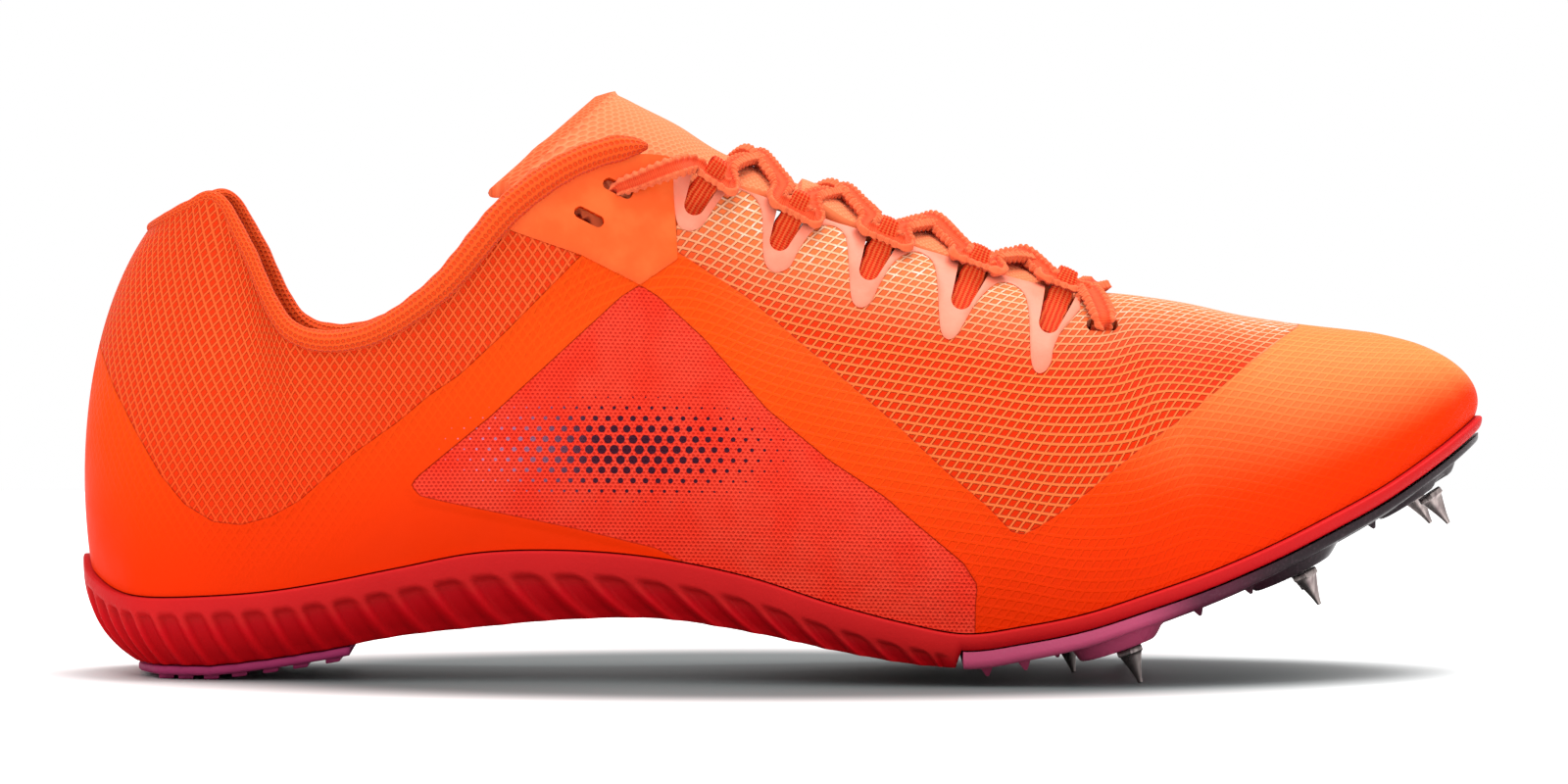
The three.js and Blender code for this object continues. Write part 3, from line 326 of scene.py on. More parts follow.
def inside(outline, x, z):
    """Distance to an outline in the side view, positive inside it."""
    best = np.full(x.shape, 1e9)
    odd = np.zeros(x.shape, bool)
    for (ax, az), (bx, bz) in zip(outline, outline[1:] + outline[:1]):
        ex, ez = bx - ax, bz - az
        t = np.clip(((x - ax) * ex + (z - az) * ez) / (ex * ex + ez * ez), 0, 1)
        best = np.minimum(best, np.hypot(x - ax - t * ex, z - az - t * ez))
        crosses = (az > z) != (bz > z)
        with np.errstate(divide="ignore", invalid="ignore"):
            odd ^= crosses & (x < ax + (z - az) * ex / (ez if ez else 1e-9))
    return np.where(odd, best, -best)


def from_bar(a, b, radii, x, z):
    """Distance from a round-ended bar in the side view, negative inside it, with a radius for each end."""
    ex, ez = b[0] - a[0], b[1] - a[1]
    t = np.clip(((x - a[0]) * ex + (z - a[1]) * ez) / (ex * ex + ez * ez), 0, 1)
    return np.hypot(x - a[0] - t * ex, z - a[1] - t * ez) - (radii[0] + (radii[1] - radii[0]) * t)


def rounded(points, steps=5):
    """The points with a smooth curve through them."""
    points = np.array(points)
    rows = np.concatenate([points[:1], points, points[-1:]])
    curve = [hermite(rows[k], rows[k + 1], rows[k + 2], rows[k + 3], t)
             for k in range(len(points) - 1) for t in np.linspace(0, 1, steps, endpoint=False)]
    return [tuple(point) for point in curve] + [tuple(points[-1])]


HEEL_MESH = from_pixels([
    (40, 318), (80, 330), (101, 349), (121, 394), (146, 438), (172, 480), (197, 509), (226, 526), (254, 529),
    (283, 521), (312, 505), (337, 483), (366, 458), (411, 426), (443, 399), (474, 378), (522, 333), (596, 258),
    (524, 233), (480, 100), (40, 60),
])
CORAL_KNIT = from_pixels([
    (655, 288), (674, 300), (719, 341), (783, 412), (846, 463), (900, 498), (928, 522), (979, 564), (993, 586),
    (991, 605), (990, 700), (720, 700), (703, 568), (671, 552), (591, 533), (464, 507), (434, 500), (425, 490),
    (430, 482), (505, 420), (636, 300),
])
VAMP_MESH = from_pixels([
    (690, 150), (692, 254), (763, 300), (822, 350), (864, 385), (912, 426), (960, 471), (1004, 508), (1027, 532),
    (1039, 535), (1055, 527), (1087, 506), (1151, 455), (1215, 411), (1257, 378), (1307, 343), (1326, 332),
    (1340, 240), (1340, 60), (700, 60),
])
TOP_PANEL = from_pixels([
    (524, 233), (596, 258), (655, 288), (693, 262), (688, 182), (694, 60), (480, 60),
])


NOTCH_FOOT_RADIUS, NOTCH_HEAD_RADIUS = 2.1, 5.0


# Lower edge of the zigzag film: down round each notch and up between them
ZIGZAG_LOW = from_pixels([
    (688, 196), (690, 215), (694, 229), (705, 234), (717, 229), (728, 213), (738, 200), (749, 193), (763, 196),
    (773, 205), (778, 220), (779, 258), (784, 272), (794, 276), (806, 270), (814, 255), (826, 238), (836, 230),
    (849, 230), (859, 236), (864, 250), (867, 296), (871, 308), (879, 311), (888, 305), (896, 289), (907, 271),
    (918, 261), (931, 256), (944, 260), (952, 270), (955, 290), (957, 330), (963, 342), (972, 340), (981, 327),
    (992, 309), (1005, 295), (1019, 287), (1033, 290), (1043, 299), (1047, 318), (1048, 362), (1053, 375),
    (1061, 375), (1068, 366), (1071, 352), (1079, 336), (1092, 322), (1100, 314),
])
ZIGZAG = rounded(ZIGZAG_LOW) + from_pixels([(1100, 60), (688, 60)])


def notch_axis(station, side):
    mouth = top_line(station, side)
    low = (mouth[0] - NOTCH_LEAN, mouth[2] - NOTCH_DEPTH + NOTCH_FOOT_RADIUS)
    high = (mouth[0] + NOTCH_LEAN, mouth[2] + NOTCH_DEPTH)
    return low, high


def notch_distance(side, x, z):
    radii = (NOTCH_FOOT_RADIUS, NOTCH_HEAD_RADIUS)
    return np.min([from_bar(*notch_axis(station, side), radii, x, z) for station in NOTCH_STATIONS], axis=0)


def slot_distance(x, z):
    reach = (SLOT_LENGTH - SLOT_HEIGHT) / 2
    far = []
    for (sx, sz), tilt in [(slot, SLOT_TILT) for slot in TOP_SLOTS] + [(FRONT_SLOT, 0)]:
        cx, cz = sx * LENGTH, sz * HEIGHT
        dx, dz = reach * math.cos(tilt), reach * math.sin(tilt)
        far.append(from_bar((cx - dx, cz + dz), (cx + dx, cz - dz), (SLOT_HEIGHT / 2,) * 2, x, z))
    return np.min(far, axis=0)


# Meshes
def grid_faces(rows, columns, closed=False):
    """Triangles between the points of a grid with that many rows and columns."""
    r, c = np.meshgrid(np.arange(rows - 1), np.arange(columns if closed else columns - 1), indexing="ij")
    a = (r * columns + c).ravel()
    b = (r * columns + (c + 1) % columns).ravel()
    d, e = a + columns, b + columns
    return np.concatenate([np.stack([a, b, e], 1), np.stack([a, e, d], 1)])


def clip(sheet, faces, keep):
    """Cuts a sheet of triangles along the line where keep is 0, and leaves the part above it."""
    good = keep > 0
    inside_count = good[faces].sum(1)
    whole = faces[inside_count == 3]
    made, pairs = [whole], []
    one, two = faces[inside_count == 1], faces[inside_count == 2]
    turn = np.argmax(good[one], 1)
    one = np.stack([one[np.arange(len(one)), (turn + k) % 3] for k in range(3)], 1)
    turn = np.argmin(good[two], 1)
    two = np.stack([two[np.arange(len(two)), (turn + k) % 3] for k in range(3)], 1)
    pairs = np.concatenate([one[:, [0, 1]], one[:, [0, 2]], two[:, [0, 1]], two[:, [0, 2]]])
    if len(pairs):
        unique, index = np.unique(np.sort(pairs, 1), axis=0, return_inverse=True)
        index = index.ravel() + len(keep)
        a, b = unique[:, 0], unique[:, 1]
        t = np.clip(keep[a] / (keep[a] - keep[b]), 0, 1)
        sheet = {key: np.concatenate([value, value[a] + (value[b] - value[a]) * t.reshape((-1,) + (1,) * (value.ndim - 1))])
                 for key, value in sheet.items()}
        n1, n2 = len(one), len(two)
        p, q = index[:n1], index[n1:2 * n1]
        r, s = index[2 * n1:2 * n1 + n2], index[2 * n1 + n2:]
        made += [np.stack([one[:, 0], p, q], 1), np.stack([r, two[:, 1], two[:, 2]], 1), np.stack([r, two[:, 2], s], 1)]
    faces = np.concatenate(made)
    used, index = np.unique(faces, return_inverse=True)
    return {key: value[used] for key, value in sheet.items()}, index.reshape(-1, 3)


def weld(points, faces, sheet, grain=0.002):
    _, first, index = np.unique(np.round(points / grain).astype(np.int64), axis=0, return_index=True, return_inverse=True)
    faces = index.ravel()[faces]
    ok = (faces[:, 0] != faces[:, 1]) & (faces[:, 1] != faces[:, 2]) & (faces[:, 2] != faces[:, 0])
    return points[first], faces[ok], {key: value[first] for key, value in sheet.items()}


def facing(points, faces, normals):
    """Turns the triangles so that they face along the normals."""
    a, b, c = (points[faces[:, k]] for k in range(3))
    wrong = (np.cross(b - a, c - a) * normals[faces[:, 0]]).sum(1) < 0
    faces = faces.copy()
    faces[wrong] = faces[wrong][:, ::-1]
    return faces


def even_out(values, faces, share, rounds):
    """Values moved towards their neighbours' mean, as far as the share at each point allows."""
    a, b = faces.ravel(), np.roll(faces, -1, axis=1).ravel()
    near = share > 0
    keep = near[a] | near[b]
    a, b = a[keep], b[keep]
    count = np.bincount(a, minlength=len(values)) + np.bincount(b, minlength=len(values))
    count = np.maximum(count, 1)[:, None]
    for _ in range(rounds):
        total = np.zeros_like(values)
        np.add.at(total, a, values[b])
        np.add.at(total, b, values[a])
        values = values + (total / count - values) * share[:, None] * near[:, None]
    return values


def corner_normals(points, faces):
    """Mean direction of the triangles round each point."""
    a, b, c = (points[faces[:, k]] for k in range(3))
    across = np.cross(b - a, c - a)
    total = np.zeros_like(points)
    for k in range(3):
        np.add.at(total, faces[:, k], across)
    return unit(total + 1e-12)


def thicken(outer, inner, faces):
    """Closed shell between two copies of a sheet."""
    count = len(outer)
    edges = np.concatenate([faces[:, [0, 1]], faces[:, [1, 2]], faces[:, [2, 0]]])
    _, index, number = np.unique(np.sort(edges, 1), axis=0, return_index=True, return_counts=True)
    rim = edges[index[number == 1]]
    walls = np.concatenate([np.stack([rim[:, 1], rim[:, 0], rim[:, 0] + count], 1),
                            np.stack([rim[:, 1], rim[:, 0] + count, rim[:, 1] + count], 1)])
    return np.concatenate([outer, inner]), np.concatenate([faces, faces[:, ::-1] + count, walls])


def make_object(name, points, faces, materials, values=None, uvs=None, face_material=None, smooth_angle=40):
    mesh = bpy.data.meshes.new(name)
    mesh.from_pydata(metres(points).tolist(), [], [tuple(int(v) for v in face) for face in faces])
    obj = bpy.data.objects.new(name, mesh)
    bpy.context.scene.collection.objects.link(obj)
    for material in materials if isinstance(materials, (list, tuple)) else [materials]:
        mesh.materials.append(material)
    for key, value in (values or {}).items():
        layer = mesh.attributes.new(key, "FLOAT", "POINT")
        layer.data.foreach_set("value", np.asarray(value, np.float32))
    loops = np.empty(len(mesh.loops), np.int32)
    mesh.loops.foreach_get("vertex_index", loops)
    for key, value in (uvs or {}).items():
        layer = mesh.uv_layers.new(name=key)
        layer.data.foreach_set("uv", np.asarray(value, np.float32)[loops].ravel())
    if face_material is not None:
        mesh.polygons.foreach_set("material_index", np.asarray(face_material, np.int32))
    mesh.shade_smooth()
    if smooth_angle:
        mesh.set_sharp_from_angle(angle=math.radians(smooth_angle))
    mesh.validate()
    mesh.update()
    return obj


def outward_faces(obj):
    work = bmesh.new()
    work.from_mesh(obj.data)
    bmesh.ops.recalc_face_normals(work, faces=work.faces)
    work.to_mesh(obj.data)
    work.free()


def place(obj, slot, *nodes):
    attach(obj, "root")
    if nodes:
        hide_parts(*nodes)


# Materials, written as sums of node values. Colours are as seen in the photograph's side light.
SIDE_LIGHT = 1.45


def linear(red, green, blue, light=SIDE_LIGHT):
    def part(value):
        value /= 255
        return (value / 12.92 if value <= 0.04045 else ((value + 0.055) / 1.055) ** 2.4) / light
    return (part(red), part(green), part(blue), 1.0)


class Value:
    """A number that varies over a surface."""

    def __init__(self, tree, socket):
        self.tree, self.socket = tree, socket

    def math(self, operation, *others, clamp=False):
        node = self.tree.nodes.new("ShaderNodeMath")
        node.operation, node.use_clamp = operation, clamp
        for place_, item in enumerate((self,) + others):
            if isinstance(item, Value):
                self.tree.links.new(item.socket, node.inputs[place_])
            else:
                node.inputs[place_].default_value = item
        return Value(self.tree, node.outputs[0])

    def __add__(self, other):
        return self.math("ADD", other)

    __radd__ = __add__

    def __sub__(self, other):
        return self.math("SUBTRACT", other)

    def __rsub__(self, other):
        return self.math("MULTIPLY", -1.0) + other

    def __mul__(self, other):
        return self.math("MULTIPLY", other)

    __rmul__ = __mul__

    def __truediv__(self, other):
        return self.math("DIVIDE", other)

    def least(self, other):
        return self.math("MINIMUM", other)

    def most(self, other):
        return self.math("MAXIMUM", other)

    def size(self):
        return self.math("ABSOLUTE")

    def part(self):
        return self.math("FRACT")

    def wave(self):
        return self.math("SINE")

    def power(self, other):
        return self.math("POWER", other)

    def ramp(self, low, high, start=0.0, end=1.0):
        node = self.tree.nodes.new("ShaderNodeMapRange")
        node.interpolation_type = "SMOOTHSTEP"
        self.tree.links.new(self.socket, node.inputs["Value"])
        for key, item in (("From Min", low), ("From Max", high), ("To Min", start), ("To Max", end)):
            if isinstance(item, Value):
                self.tree.links.new(item.socket, node.inputs[key])
            else:
                node.inputs[key].default_value = item
        return Value(self.tree, node.outputs["Result"])


class Paint:
    """One node material: values, colours and the surface they go into."""

    def __init__(self, name, rough=0.6, metal=0.0, coat=0.0, coat_rough=0.3, sheen=0.0, sheen_rough=0.5, specular=0.5):
        self.material = bpy.data.materials.new(name)
        self.material.use_nodes = True
        self.tree = self.material.node_tree
        self.shader = self.tree.nodes["Principled BSDF"]
        inputs = self.shader.inputs
        inputs["Roughness"].default_value = rough
        inputs["Metallic"].default_value = metal
        inputs["Coat Weight"].default_value = coat
        inputs["Coat Roughness"].default_value = coat_rough
        inputs["Sheen Weight"].default_value = sheen
        inputs["Sheen Roughness"].default_value = sheen_rough
        inputs["Specular IOR Level"].default_value = specular

    def attribute(self, name):
        node = self.tree.nodes.new("ShaderNodeAttribute")
        node.attribute_name = name
        return Value(self.tree, node.outputs["Fac"])

    def uv(self, name):
        node = self.tree.nodes.new("ShaderNodeUVMap")
        node.uv_map = name
        return self.split(node.outputs[0])

    def split(self, socket):
        node = self.tree.nodes.new("ShaderNodeSeparateXYZ")
        self.tree.links.new(socket, node.inputs[0])
        return [Value(self.tree, output) for output in node.outputs]

    def position(self):
        """Place on the object in millimetres."""
        node = self.tree.nodes.new("ShaderNodeTexCoord")
        return [value * 1000.0 for value in self.split(node.outputs["Object"])]

    def noise(self, size, detail=3.0, stretch=(1, 1, 1)):
        """Cloudy value round 0.5 with features of that many millimetres."""
        coordinates = self.tree.nodes.new("ShaderNodeTexCoord")
        scale = self.tree.nodes.new("ShaderNodeMapping")
        scale.inputs["Scale"].default_value = [1000.0 / size / s for s in stretch]
        node = self.tree.nodes.new("ShaderNodeTexNoise")
        node.inputs["Scale"].default_value = 1.0
        node.inputs["Detail"].default_value = detail
        self.tree.links.new(coordinates.outputs["Object"], scale.inputs["Vector"])
        self.tree.links.new(scale.outputs[0], node.inputs["Vector"])
        return Value(self.tree, node.outputs["Fac"])

    def mix(self, factor, first, second):
        node = self.tree.nodes.new("ShaderNodeMix")
        node.data_type = "RGBA"
        self.tree.links.new(factor.socket, node.inputs["Factor"])
        for place_, item in ((6, first), (7, second)):
            if isinstance(item, tuple):
                node.inputs[place_].default_value = item
            else:
                self.tree.links.new(item, node.inputs[place_])
        return node.outputs[2]

    def finish(self, colour, height=None, depth=0.2, rough=None, strength=1.0):
        if isinstance(colour, tuple):
            self.shader.inputs["Base Color"].default_value = colour
        else:
            self.tree.links.new(colour, self.shader.inputs["Base Color"])
        if rough is not None:
            self.tree.links.new(rough.socket, self.shader.inputs["Roughness"])
        if height is not None:
            bump = self.tree.nodes.new("ShaderNodeBump")
            bump.inputs["Distance"].default_value = depth * 0.001
            bump.inputs["Strength"].default_value = strength
            self.tree.links.new(height.socket, bump.inputs["Height"])
            self.tree.links.new(bump.outputs[0], self.shader.inputs["Normal"])
        return self.material


def staggered(u, v, wide, high, diamond=False):
    """Distance in millimetres to the nearest hole of a staggered lattice."""
    def cell(shift):
        du = ((u / wide + shift).part() - 0.5).size() * wide
        dv = ((v / high + shift).part() - 0.5).size() * high
        return (du, dv)
    def length(pair):
        du, dv = pair
        if diamond:
            return du * (1.0 / wide) + dv * (1.0 / high)
        return (du * du + dv * dv).power(0.5)
    return length(cell(0.0)).least(length(cell(0.5)))


def woven_squares(u, v, wide, high):
    """Distance from the middle of a four-sided cell, as a share of its size."""
    across = ((u / wide).part() - 0.5).size()
    down = ((v / high).part() - 0.5).size()
    return across.most(down)


def upper_paint():
    paint = Paint("upper_film_and_mesh", rough=0.5, specular=0.03)
    u, v, _ = paint.uv("from_sole")
    a, b, _ = paint.uv("from_top")
    heel, coral, vamp = paint.attribute("heel_mesh"), paint.attribute("coral_knit"), paint.attribute("vamp_mesh")
    lift = paint.attribute("lift")
    cloud = paint.noise(9, 4.0)
    fine = paint.noise(0.5, 2.0)

    facing_up = paint.attribute("facing_up")
    film = paint.mix(lift.ramp(0.0, 0.8), linear(250, 52, 0), linear(255, 82, 14))
    # Film turned lighter peach where the surface faces up: painted highlight from the light above.
    film = paint.mix(facing_up.ramp(0.24, 0.9), film, linear(255, 146, 78))

    on_heel, on_vamp, on_coral = heel.ramp(-0.15, 0.15), vamp.ramp(-0.15, 0.15), coral.ramp(-0.15, 0.15)

    heel_gap = staggered(u, v, 2.0, 3.0, diamond=True)
    heel_hole = heel_gap.ramp(0.24, 0.44, 1.0, 0.0)
    heel_strand = paint.mix(lift.ramp(0.2, 0.9), linear(255, 78, 30), linear(255, 100, 48))
    heel_colour = paint.mix(heel_hole * 0.9, heel_strand, linear(238, 48, 8))

    vamp_gap = woven_squares(a + b * 0.62, b, 1.8, 2.15)
    vamp_hole = vamp_gap.ramp(0.28, 0.42, 1.0, 0.0)
    near_stay = b.ramp(3.0, 30.0, 1.0, 0.0)
    strand = paint.mix(near_stay, linear(255, 118, 60), linear(255, 188, 146))
    # Near-white spots on the strands near the eyestay: painted highlight, glints of the glossy film.
    painted_glint = paint.noise(2.6, 2.0).ramp(0.52, 0.72) * near_stay.ramp(0.45, 0.95)
    strand = paint.mix(painted_glint * 0.8, strand, linear(255, 232, 216))
    vamp_deep = paint.mix(near_stay, linear(230, 46, 4), linear(255, 124, 66))
    vamp_colour = paint.mix(vamp_hole, strand, vamp_deep)

    knit_gap = staggered(u, v, 0.95, 1.5)
    knit_hole = knit_gap.ramp(0.1, 0.34, 1.0, 0.0)
    knit_line = (v * (2 * math.pi / 0.75)).wave() * 0.5 + 0.5
    coral_base = paint.mix(cloud.ramp(0.3, 0.7), linear(255, 58, 36), linear(255, 72, 50))
    coral_colour = paint.mix(knit_hole * 0.7, coral_base, linear(214, 22, 16))

    past_toe = vamp.ramp(-62.0, -3.0)
    emboss = past_toe * on_vamp.ramp(0.0, 1.0, 1.0, 0.0)
    emboss_heel = heel.ramp(-16.0, 0.0) * on_heel.ramp(0.0, 1.0, 1.0, 0.0) * (1.0 - on_coral)
    film = paint.mix((emboss * vamp_hole * 1.1 + emboss_heel * heel_hole) * 0.2, film, linear(226, 36, 0))

    colour = paint.mix(on_heel, film, heel_colour)
    colour = paint.mix(on_coral, colour, coral_colour)
    colour = paint.mix(on_vamp, colour, vamp_colour)
    seam = (heel.size().ramp(0.0, 0.45, 1.0, 0.0) + vamp.size().ramp(0.0, 0.45, 1.0, 0.0)
            + coral.size().ramp(0.0, 0.45, 1.0, 0.0))
    colour = paint.mix((seam * 0.16).least(0.16), colour, linear(214, 34, 6))

    dots = halftone(paint)
    colour = paint.mix(dots[0], colour, dots[1])

    ridge = (heel.size().ramp(0.3, 2.2, 1.0, 0.0) * (1.0 - on_heel) + vamp.size().ramp(0.3, 2.2, 1.0, 0.0) * (1.0 - on_vamp)
             + coral.size().ramp(0.3, 2.2, 1.0, 0.0) * (1.0 - on_coral))
    height = ((1.0 - heel_hole) * on_heel * 0.8 + (1.0 - vamp_hole) * on_vamp * 1.1
              + ((1.0 - knit_hole) * 0.5 + knit_line * 0.12) * on_coral
              + (1.0 - (on_heel + on_vamp + on_coral).least(1.0)) * 1.3
              - emboss * vamp_hole * 0.3 - emboss_heel * heel_hole * 0.25
              + ridge * 0.5 + cloud * 0.8 + fine * 0.05)
    rough = cloud.ramp(0.3, 0.7, 0.42, 0.56) - near_stay * on_vamp * (1.0 - vamp_hole) * 0.16
    return paint.finish(colour, height, depth=0.4, rough=rough)


DOT_PITCH = 4.2


def halftone(paint):
    """A plain field of printed dots that shrink towards its border."""
    x, y, z = paint.position()
    x = x + ORIGIN_X
    along, across = x - 112.0, z - 47.0
    reach = ((along / 46.0).power(2.0) + (across / 15.0).power(2.0)).power(0.5)
    size = reach.ramp(0.0, 1.0, 1.0, 0.0)
    gap = staggered(along, across, DOT_PITCH * 0.6, DOT_PITCH)
    on_side = y.ramp(-6.0, -5.0, 1.0, 0.0)
    dot = (gap - size * 0.98).ramp(-0.12, 0.06, 1.0, 0.0) * size.ramp(0.04, 0.12) * on_side
    tint = paint.mix(along.ramp(-40.0, -4.0), linear(231, 143, 180), linear(70, 25, 42))
    return dot, tint


def knit_paint(name, light, dark, u_name="knit", wide=1.3, high=2.6, depth=0.35):
    paint = Paint(name, rough=0.85, sheen=0.06, sheen_rough=0.5, specular=0.05)
    u, v, _ = paint.uv(u_name)
    gap = staggered(u, v, wide, high)
    hollow = gap.ramp(0.2 * wide, 0.5 * wide, 1.0, 0.0)
    cloud = paint.noise(6, 3.0)
    colour = paint.mix(hollow * 0.75, paint.mix(cloud, light, light), dark)
    return paint.finish(colour, (1.0 - hollow) * 0.8 + cloud * 0.5, depth=depth)


def plain_film(name, base, shade, rough=0.42, depth=0.25):
    paint = Paint(name, rough=rough, coat=0.03, coat_rough=0.35, specular=0.12)
    cloud, fine = paint.noise(7, 4.0), paint.noise(0.7, 3.0)
    colour = paint.mix(cloud.ramp(0.35, 0.75), base, shade)
    return paint.finish(colour, cloud + fine * 0.12, depth=depth, rough=cloud.ramp(0.3, 0.7, rough - 0.06, rough + 0.08))


def webbing_paint():
    paint = Paint("ribbed_webbing", rough=0.8, sheen=0.05, specular=0.05)
    u, v, _ = paint.uv("web")
    rib = (u * (2 * math.pi / 0.55)).wave() * 0.5 + 0.5
    strand = (v * (2 * math.pi / 0.9)).wave() * 0.5 + 0.5
    colour = paint.mix((rib * 0.35 + strand * 0.65).ramp(0.15, 0.85), linear(232, 44, 8), linear(255, 110, 58))
    return paint.finish(colour, strand * 0.7 + rib * 0.5, depth=0.22)


def lace_paint():
    paint = Paint("woven_lace", rough=0.8, sheen=0.06, specular=0.05)
    u, v, _ = paint.uv("lace")
    weave = ((u * (2 * math.pi / 0.9) + v * 3.0).wave() * (u * (2 * math.pi / 0.9) - v * 3.0).wave()) * 0.5 + 0.5
    bead = v.size().ramp(0.35, 0.6)
    cloud = paint.noise(5, 2.0)
    body = paint.mix(weave, linear(240, 60, 24), linear(255, 98, 56))
    colour = paint.mix(bead * 0.85, body, linear(255, 124, 78))
    colour = paint.mix(cloud.ramp(0.45, 0.8) * 0.3, colour, linear(250, 84, 40))
    return paint.finish(colour, weave * 0.8 + cloud * 0.3, depth=0.22)


def foam_paint():
    paint = Paint("moulded_foam", rough=0.6, specular=0.06)
    groove, below_band = paint.attribute("groove"), paint.attribute("below_band")
    cloud, fine = paint.noise(14, 3.0), paint.noise(0.6, 3.0)
    colour = paint.mix(cloud, linear(222, 34, 34), linear(208, 28, 32))
    # Deeper, darker red below the smooth top band and towards the bottom of the wall: painted shade.
    colour = paint.mix(below_band.ramp(0.0, 0.5), colour, linear(218, 12, 26))
    colour = paint.mix(below_band.ramp(0.4, 1.0), colour, linear(214, 8, 20))
    # Darker red in the rib scoops: painted shade in the recesses.
    colour = paint.mix(groove.ramp(0.0, 0.9) * 0.35, colour, linear(160, 2, 12))
    return paint.finish(colour, fine * 0.3 + cloud, depth=0.18, rough=fine.ramp(0.3, 0.7, 0.46, 0.6))


def rubber_paint():
    paint = Paint("heel_rubber", rough=0.6, specular=0.12)
    cloud, fine = paint.noise(10, 3.0), paint.noise(0.5, 3.0)
    colour = paint.mix(cloud, linear(184, 58, 112), linear(166, 50, 100))
    return paint.finish(colour, fine * 0.5 + cloud * 0.5, depth=0.2, rough=fine.ramp(0.3, 0.7, 0.5, 0.66))


def plate_paint():
    paint = Paint("moulded_plate", rough=0.36, coat=0.05, coat_rough=0.3, specular=0.12)
    x, y, z = paint.position()
    x = x + ORIGIN_X
    cloud, fine = paint.noise(16, 3.0), paint.noise(0.6, 2.0)
    along = x + cloud * 10.0 - 5.0
    colour = paint.mix(along.ramp(212.0, 228.0), linear(212, 84, 124), linear(96, 34, 58))
    colour = paint.mix(along.ramp(229.0, 246.0), colour, linear(40, 26, 32))
    colour = paint.mix(fine.ramp(0.5, 0.8) * 0.06, colour, linear(200, 150, 170))
    return paint.finish(colour, fine * 0.4 + cloud, depth=0.12, rough=cloud.ramp(0.3, 0.7, 0.26, 0.42))


def steel_paint():
    paint = Paint("worn_steel", rough=0.34, metal=1.0)
    long, fine = paint.noise(1.2, 4.0, (1, 1, 5)), paint.noise(0.4, 3.0)
    colour = paint.mix(long.ramp(0.35, 0.7), linear(196, 182, 178), linear(150, 134, 134))
    return paint.finish(colour, fine * 0.4 + long, depth=0.08, rough=long.ramp(0.3, 0.7, 0.26, 0.46))


ORANGE_FILM = upper_paint()
PANEL_FILM = plain_film("eyelet_film", linear(255, 94, 30), linear(255, 110, 46))
CORAL_FILM = plain_film("zigzag_film", linear(255, 134, 106), linear(255, 150, 122), rough=0.4)
LINING = knit_paint("lining_knit", linear(236, 60, 20), linear(190, 28, 4), "from_sole", 1.4, 2.2)
ROLL_KNIT = knit_paint("collar_knit", linear(255, 92, 34), linear(244, 62, 14), "knit", 1.1, 2.6, 0.35)
TONGUE_KNIT = knit_paint("tongue_knit", linear(255, 146, 98), linear(254, 122, 72), "knit", 1.3, 1.9, 0.2)
BINDING = knit_paint("tongue_binding", linear(255, 122, 74), linear(250, 98, 50), "knit", 0.8, 1.2, 0.2)
INSOLE_CLOTH = knit_paint("insole_cloth", linear(232, 70, 34), linear(190, 40, 16), "knit", 1.0, 1.5, 0.15)
WEBBING = webbing_paint()
LACE = lace_paint()
FOAM = foam_paint()
RUBBER = rubber_paint()
PLATE = plate_paint()
STEEL = steel_paint()


# Upper: one shell, open at the collar, the throat, the notches, the slots and underneath
def rib_lengths(points):
    steps = np.linalg.norm(np.diff(points, axis=1), axis=2)
    return np.concatenate([np.zeros((len(points), 1)), np.cumsum(steps, 1)], 1)


def side_sheet(side, low, high, rows, columns, bottom=0.0, top=1.0):
    stations, heights = np.linspace(low, high, rows), np.linspace(bottom, top, columns)
    s, h = np.meshgrid(stations, heights, indexing="ij")
    points = upper_point(s, side, h)
    up = rib_lengths(points)
    from_sole = feather(s, side)[..., 2] + up
    from_top = up[:, -1:] - up
    along = points[..., 0].copy()
    turn = 6.0
    bend = stations < turn
    if bend.any():
        first = int(bend.sum())
        back = np.linalg.norm(np.diff(points[:first + 1], axis=0), axis=2)
        for row in range(first - 1, -1, -1):
            along[row] = along[row + 1] - back[row]
    sheet = {"s": s, "h": h, "u": along, "v": from_sole, "w": from_top}
    return {key: value.ravel() for key, value in sheet.items()}, grid_faces(rows, columns)


def upper_sheet(side, low, high, rows, columns, bottom=0.0, top=1.0, keep=None):
    sheet, faces = side_sheet(side, low, high, rows, columns, bottom, top)
    points = upper_point(sheet["s"], side, sheet["h"])
    openings = np.minimum(notch_distance(side, points[:, 0], points[:, 2]), slot_distance(points[:, 0], points[:, 2]))
    sheet, faces = clip(sheet, faces, openings)
    if keep is not None:
        points = upper_point(sheet["s"], side, sheet["h"])
        sheet["edge"] = keep(side, points[:, 0], points[:, 2])
        sheet, faces = clip(sheet, faces, sheet["edge"])
    sheet["side"] = np.full(len(sheet["s"]), float(side))
    return sheet, faces


def both_sides(parts):
    faces, start = [], 0
    for sheet, own in parts:
        faces.append(own + start)
        start += len(sheet["s"])
    joined = {key: np.concatenate([sheet[key] for sheet, _ in parts]) for key in parts[0][0]}
    return joined, np.concatenate(faces)


def surface(sheet):
    points, normals = np.empty((len(sheet["s"]), 3)), np.empty((len(sheet["s"]), 3))
    for side in SIDES:
        own = sheet["side"] == side
        if own.any():
            points[own] = upper_point(sheet["s"][own], side, sheet["h"][own])
            normals[own] = upper_normal(sheet["s"][own], side, sheet["h"][own])
    on_ridge = (sheet["h"] > 1 - 1e-9) & (sheet["s"] >= RIDGE_START)
    if on_ridge.any():
        along = sheet["s"][on_ridge]
        high = np.ones_like(along)
        points[on_ridge] = (upper_point(along, LATERAL, high) + upper_point(along, MEDIAL, high)) / 2
        beside = high * 0.96
        normals[on_ridge] = unit(upper_normal(along, LATERAL, beside) + upper_normal(along, MEDIAL, beside))
    return points, normals


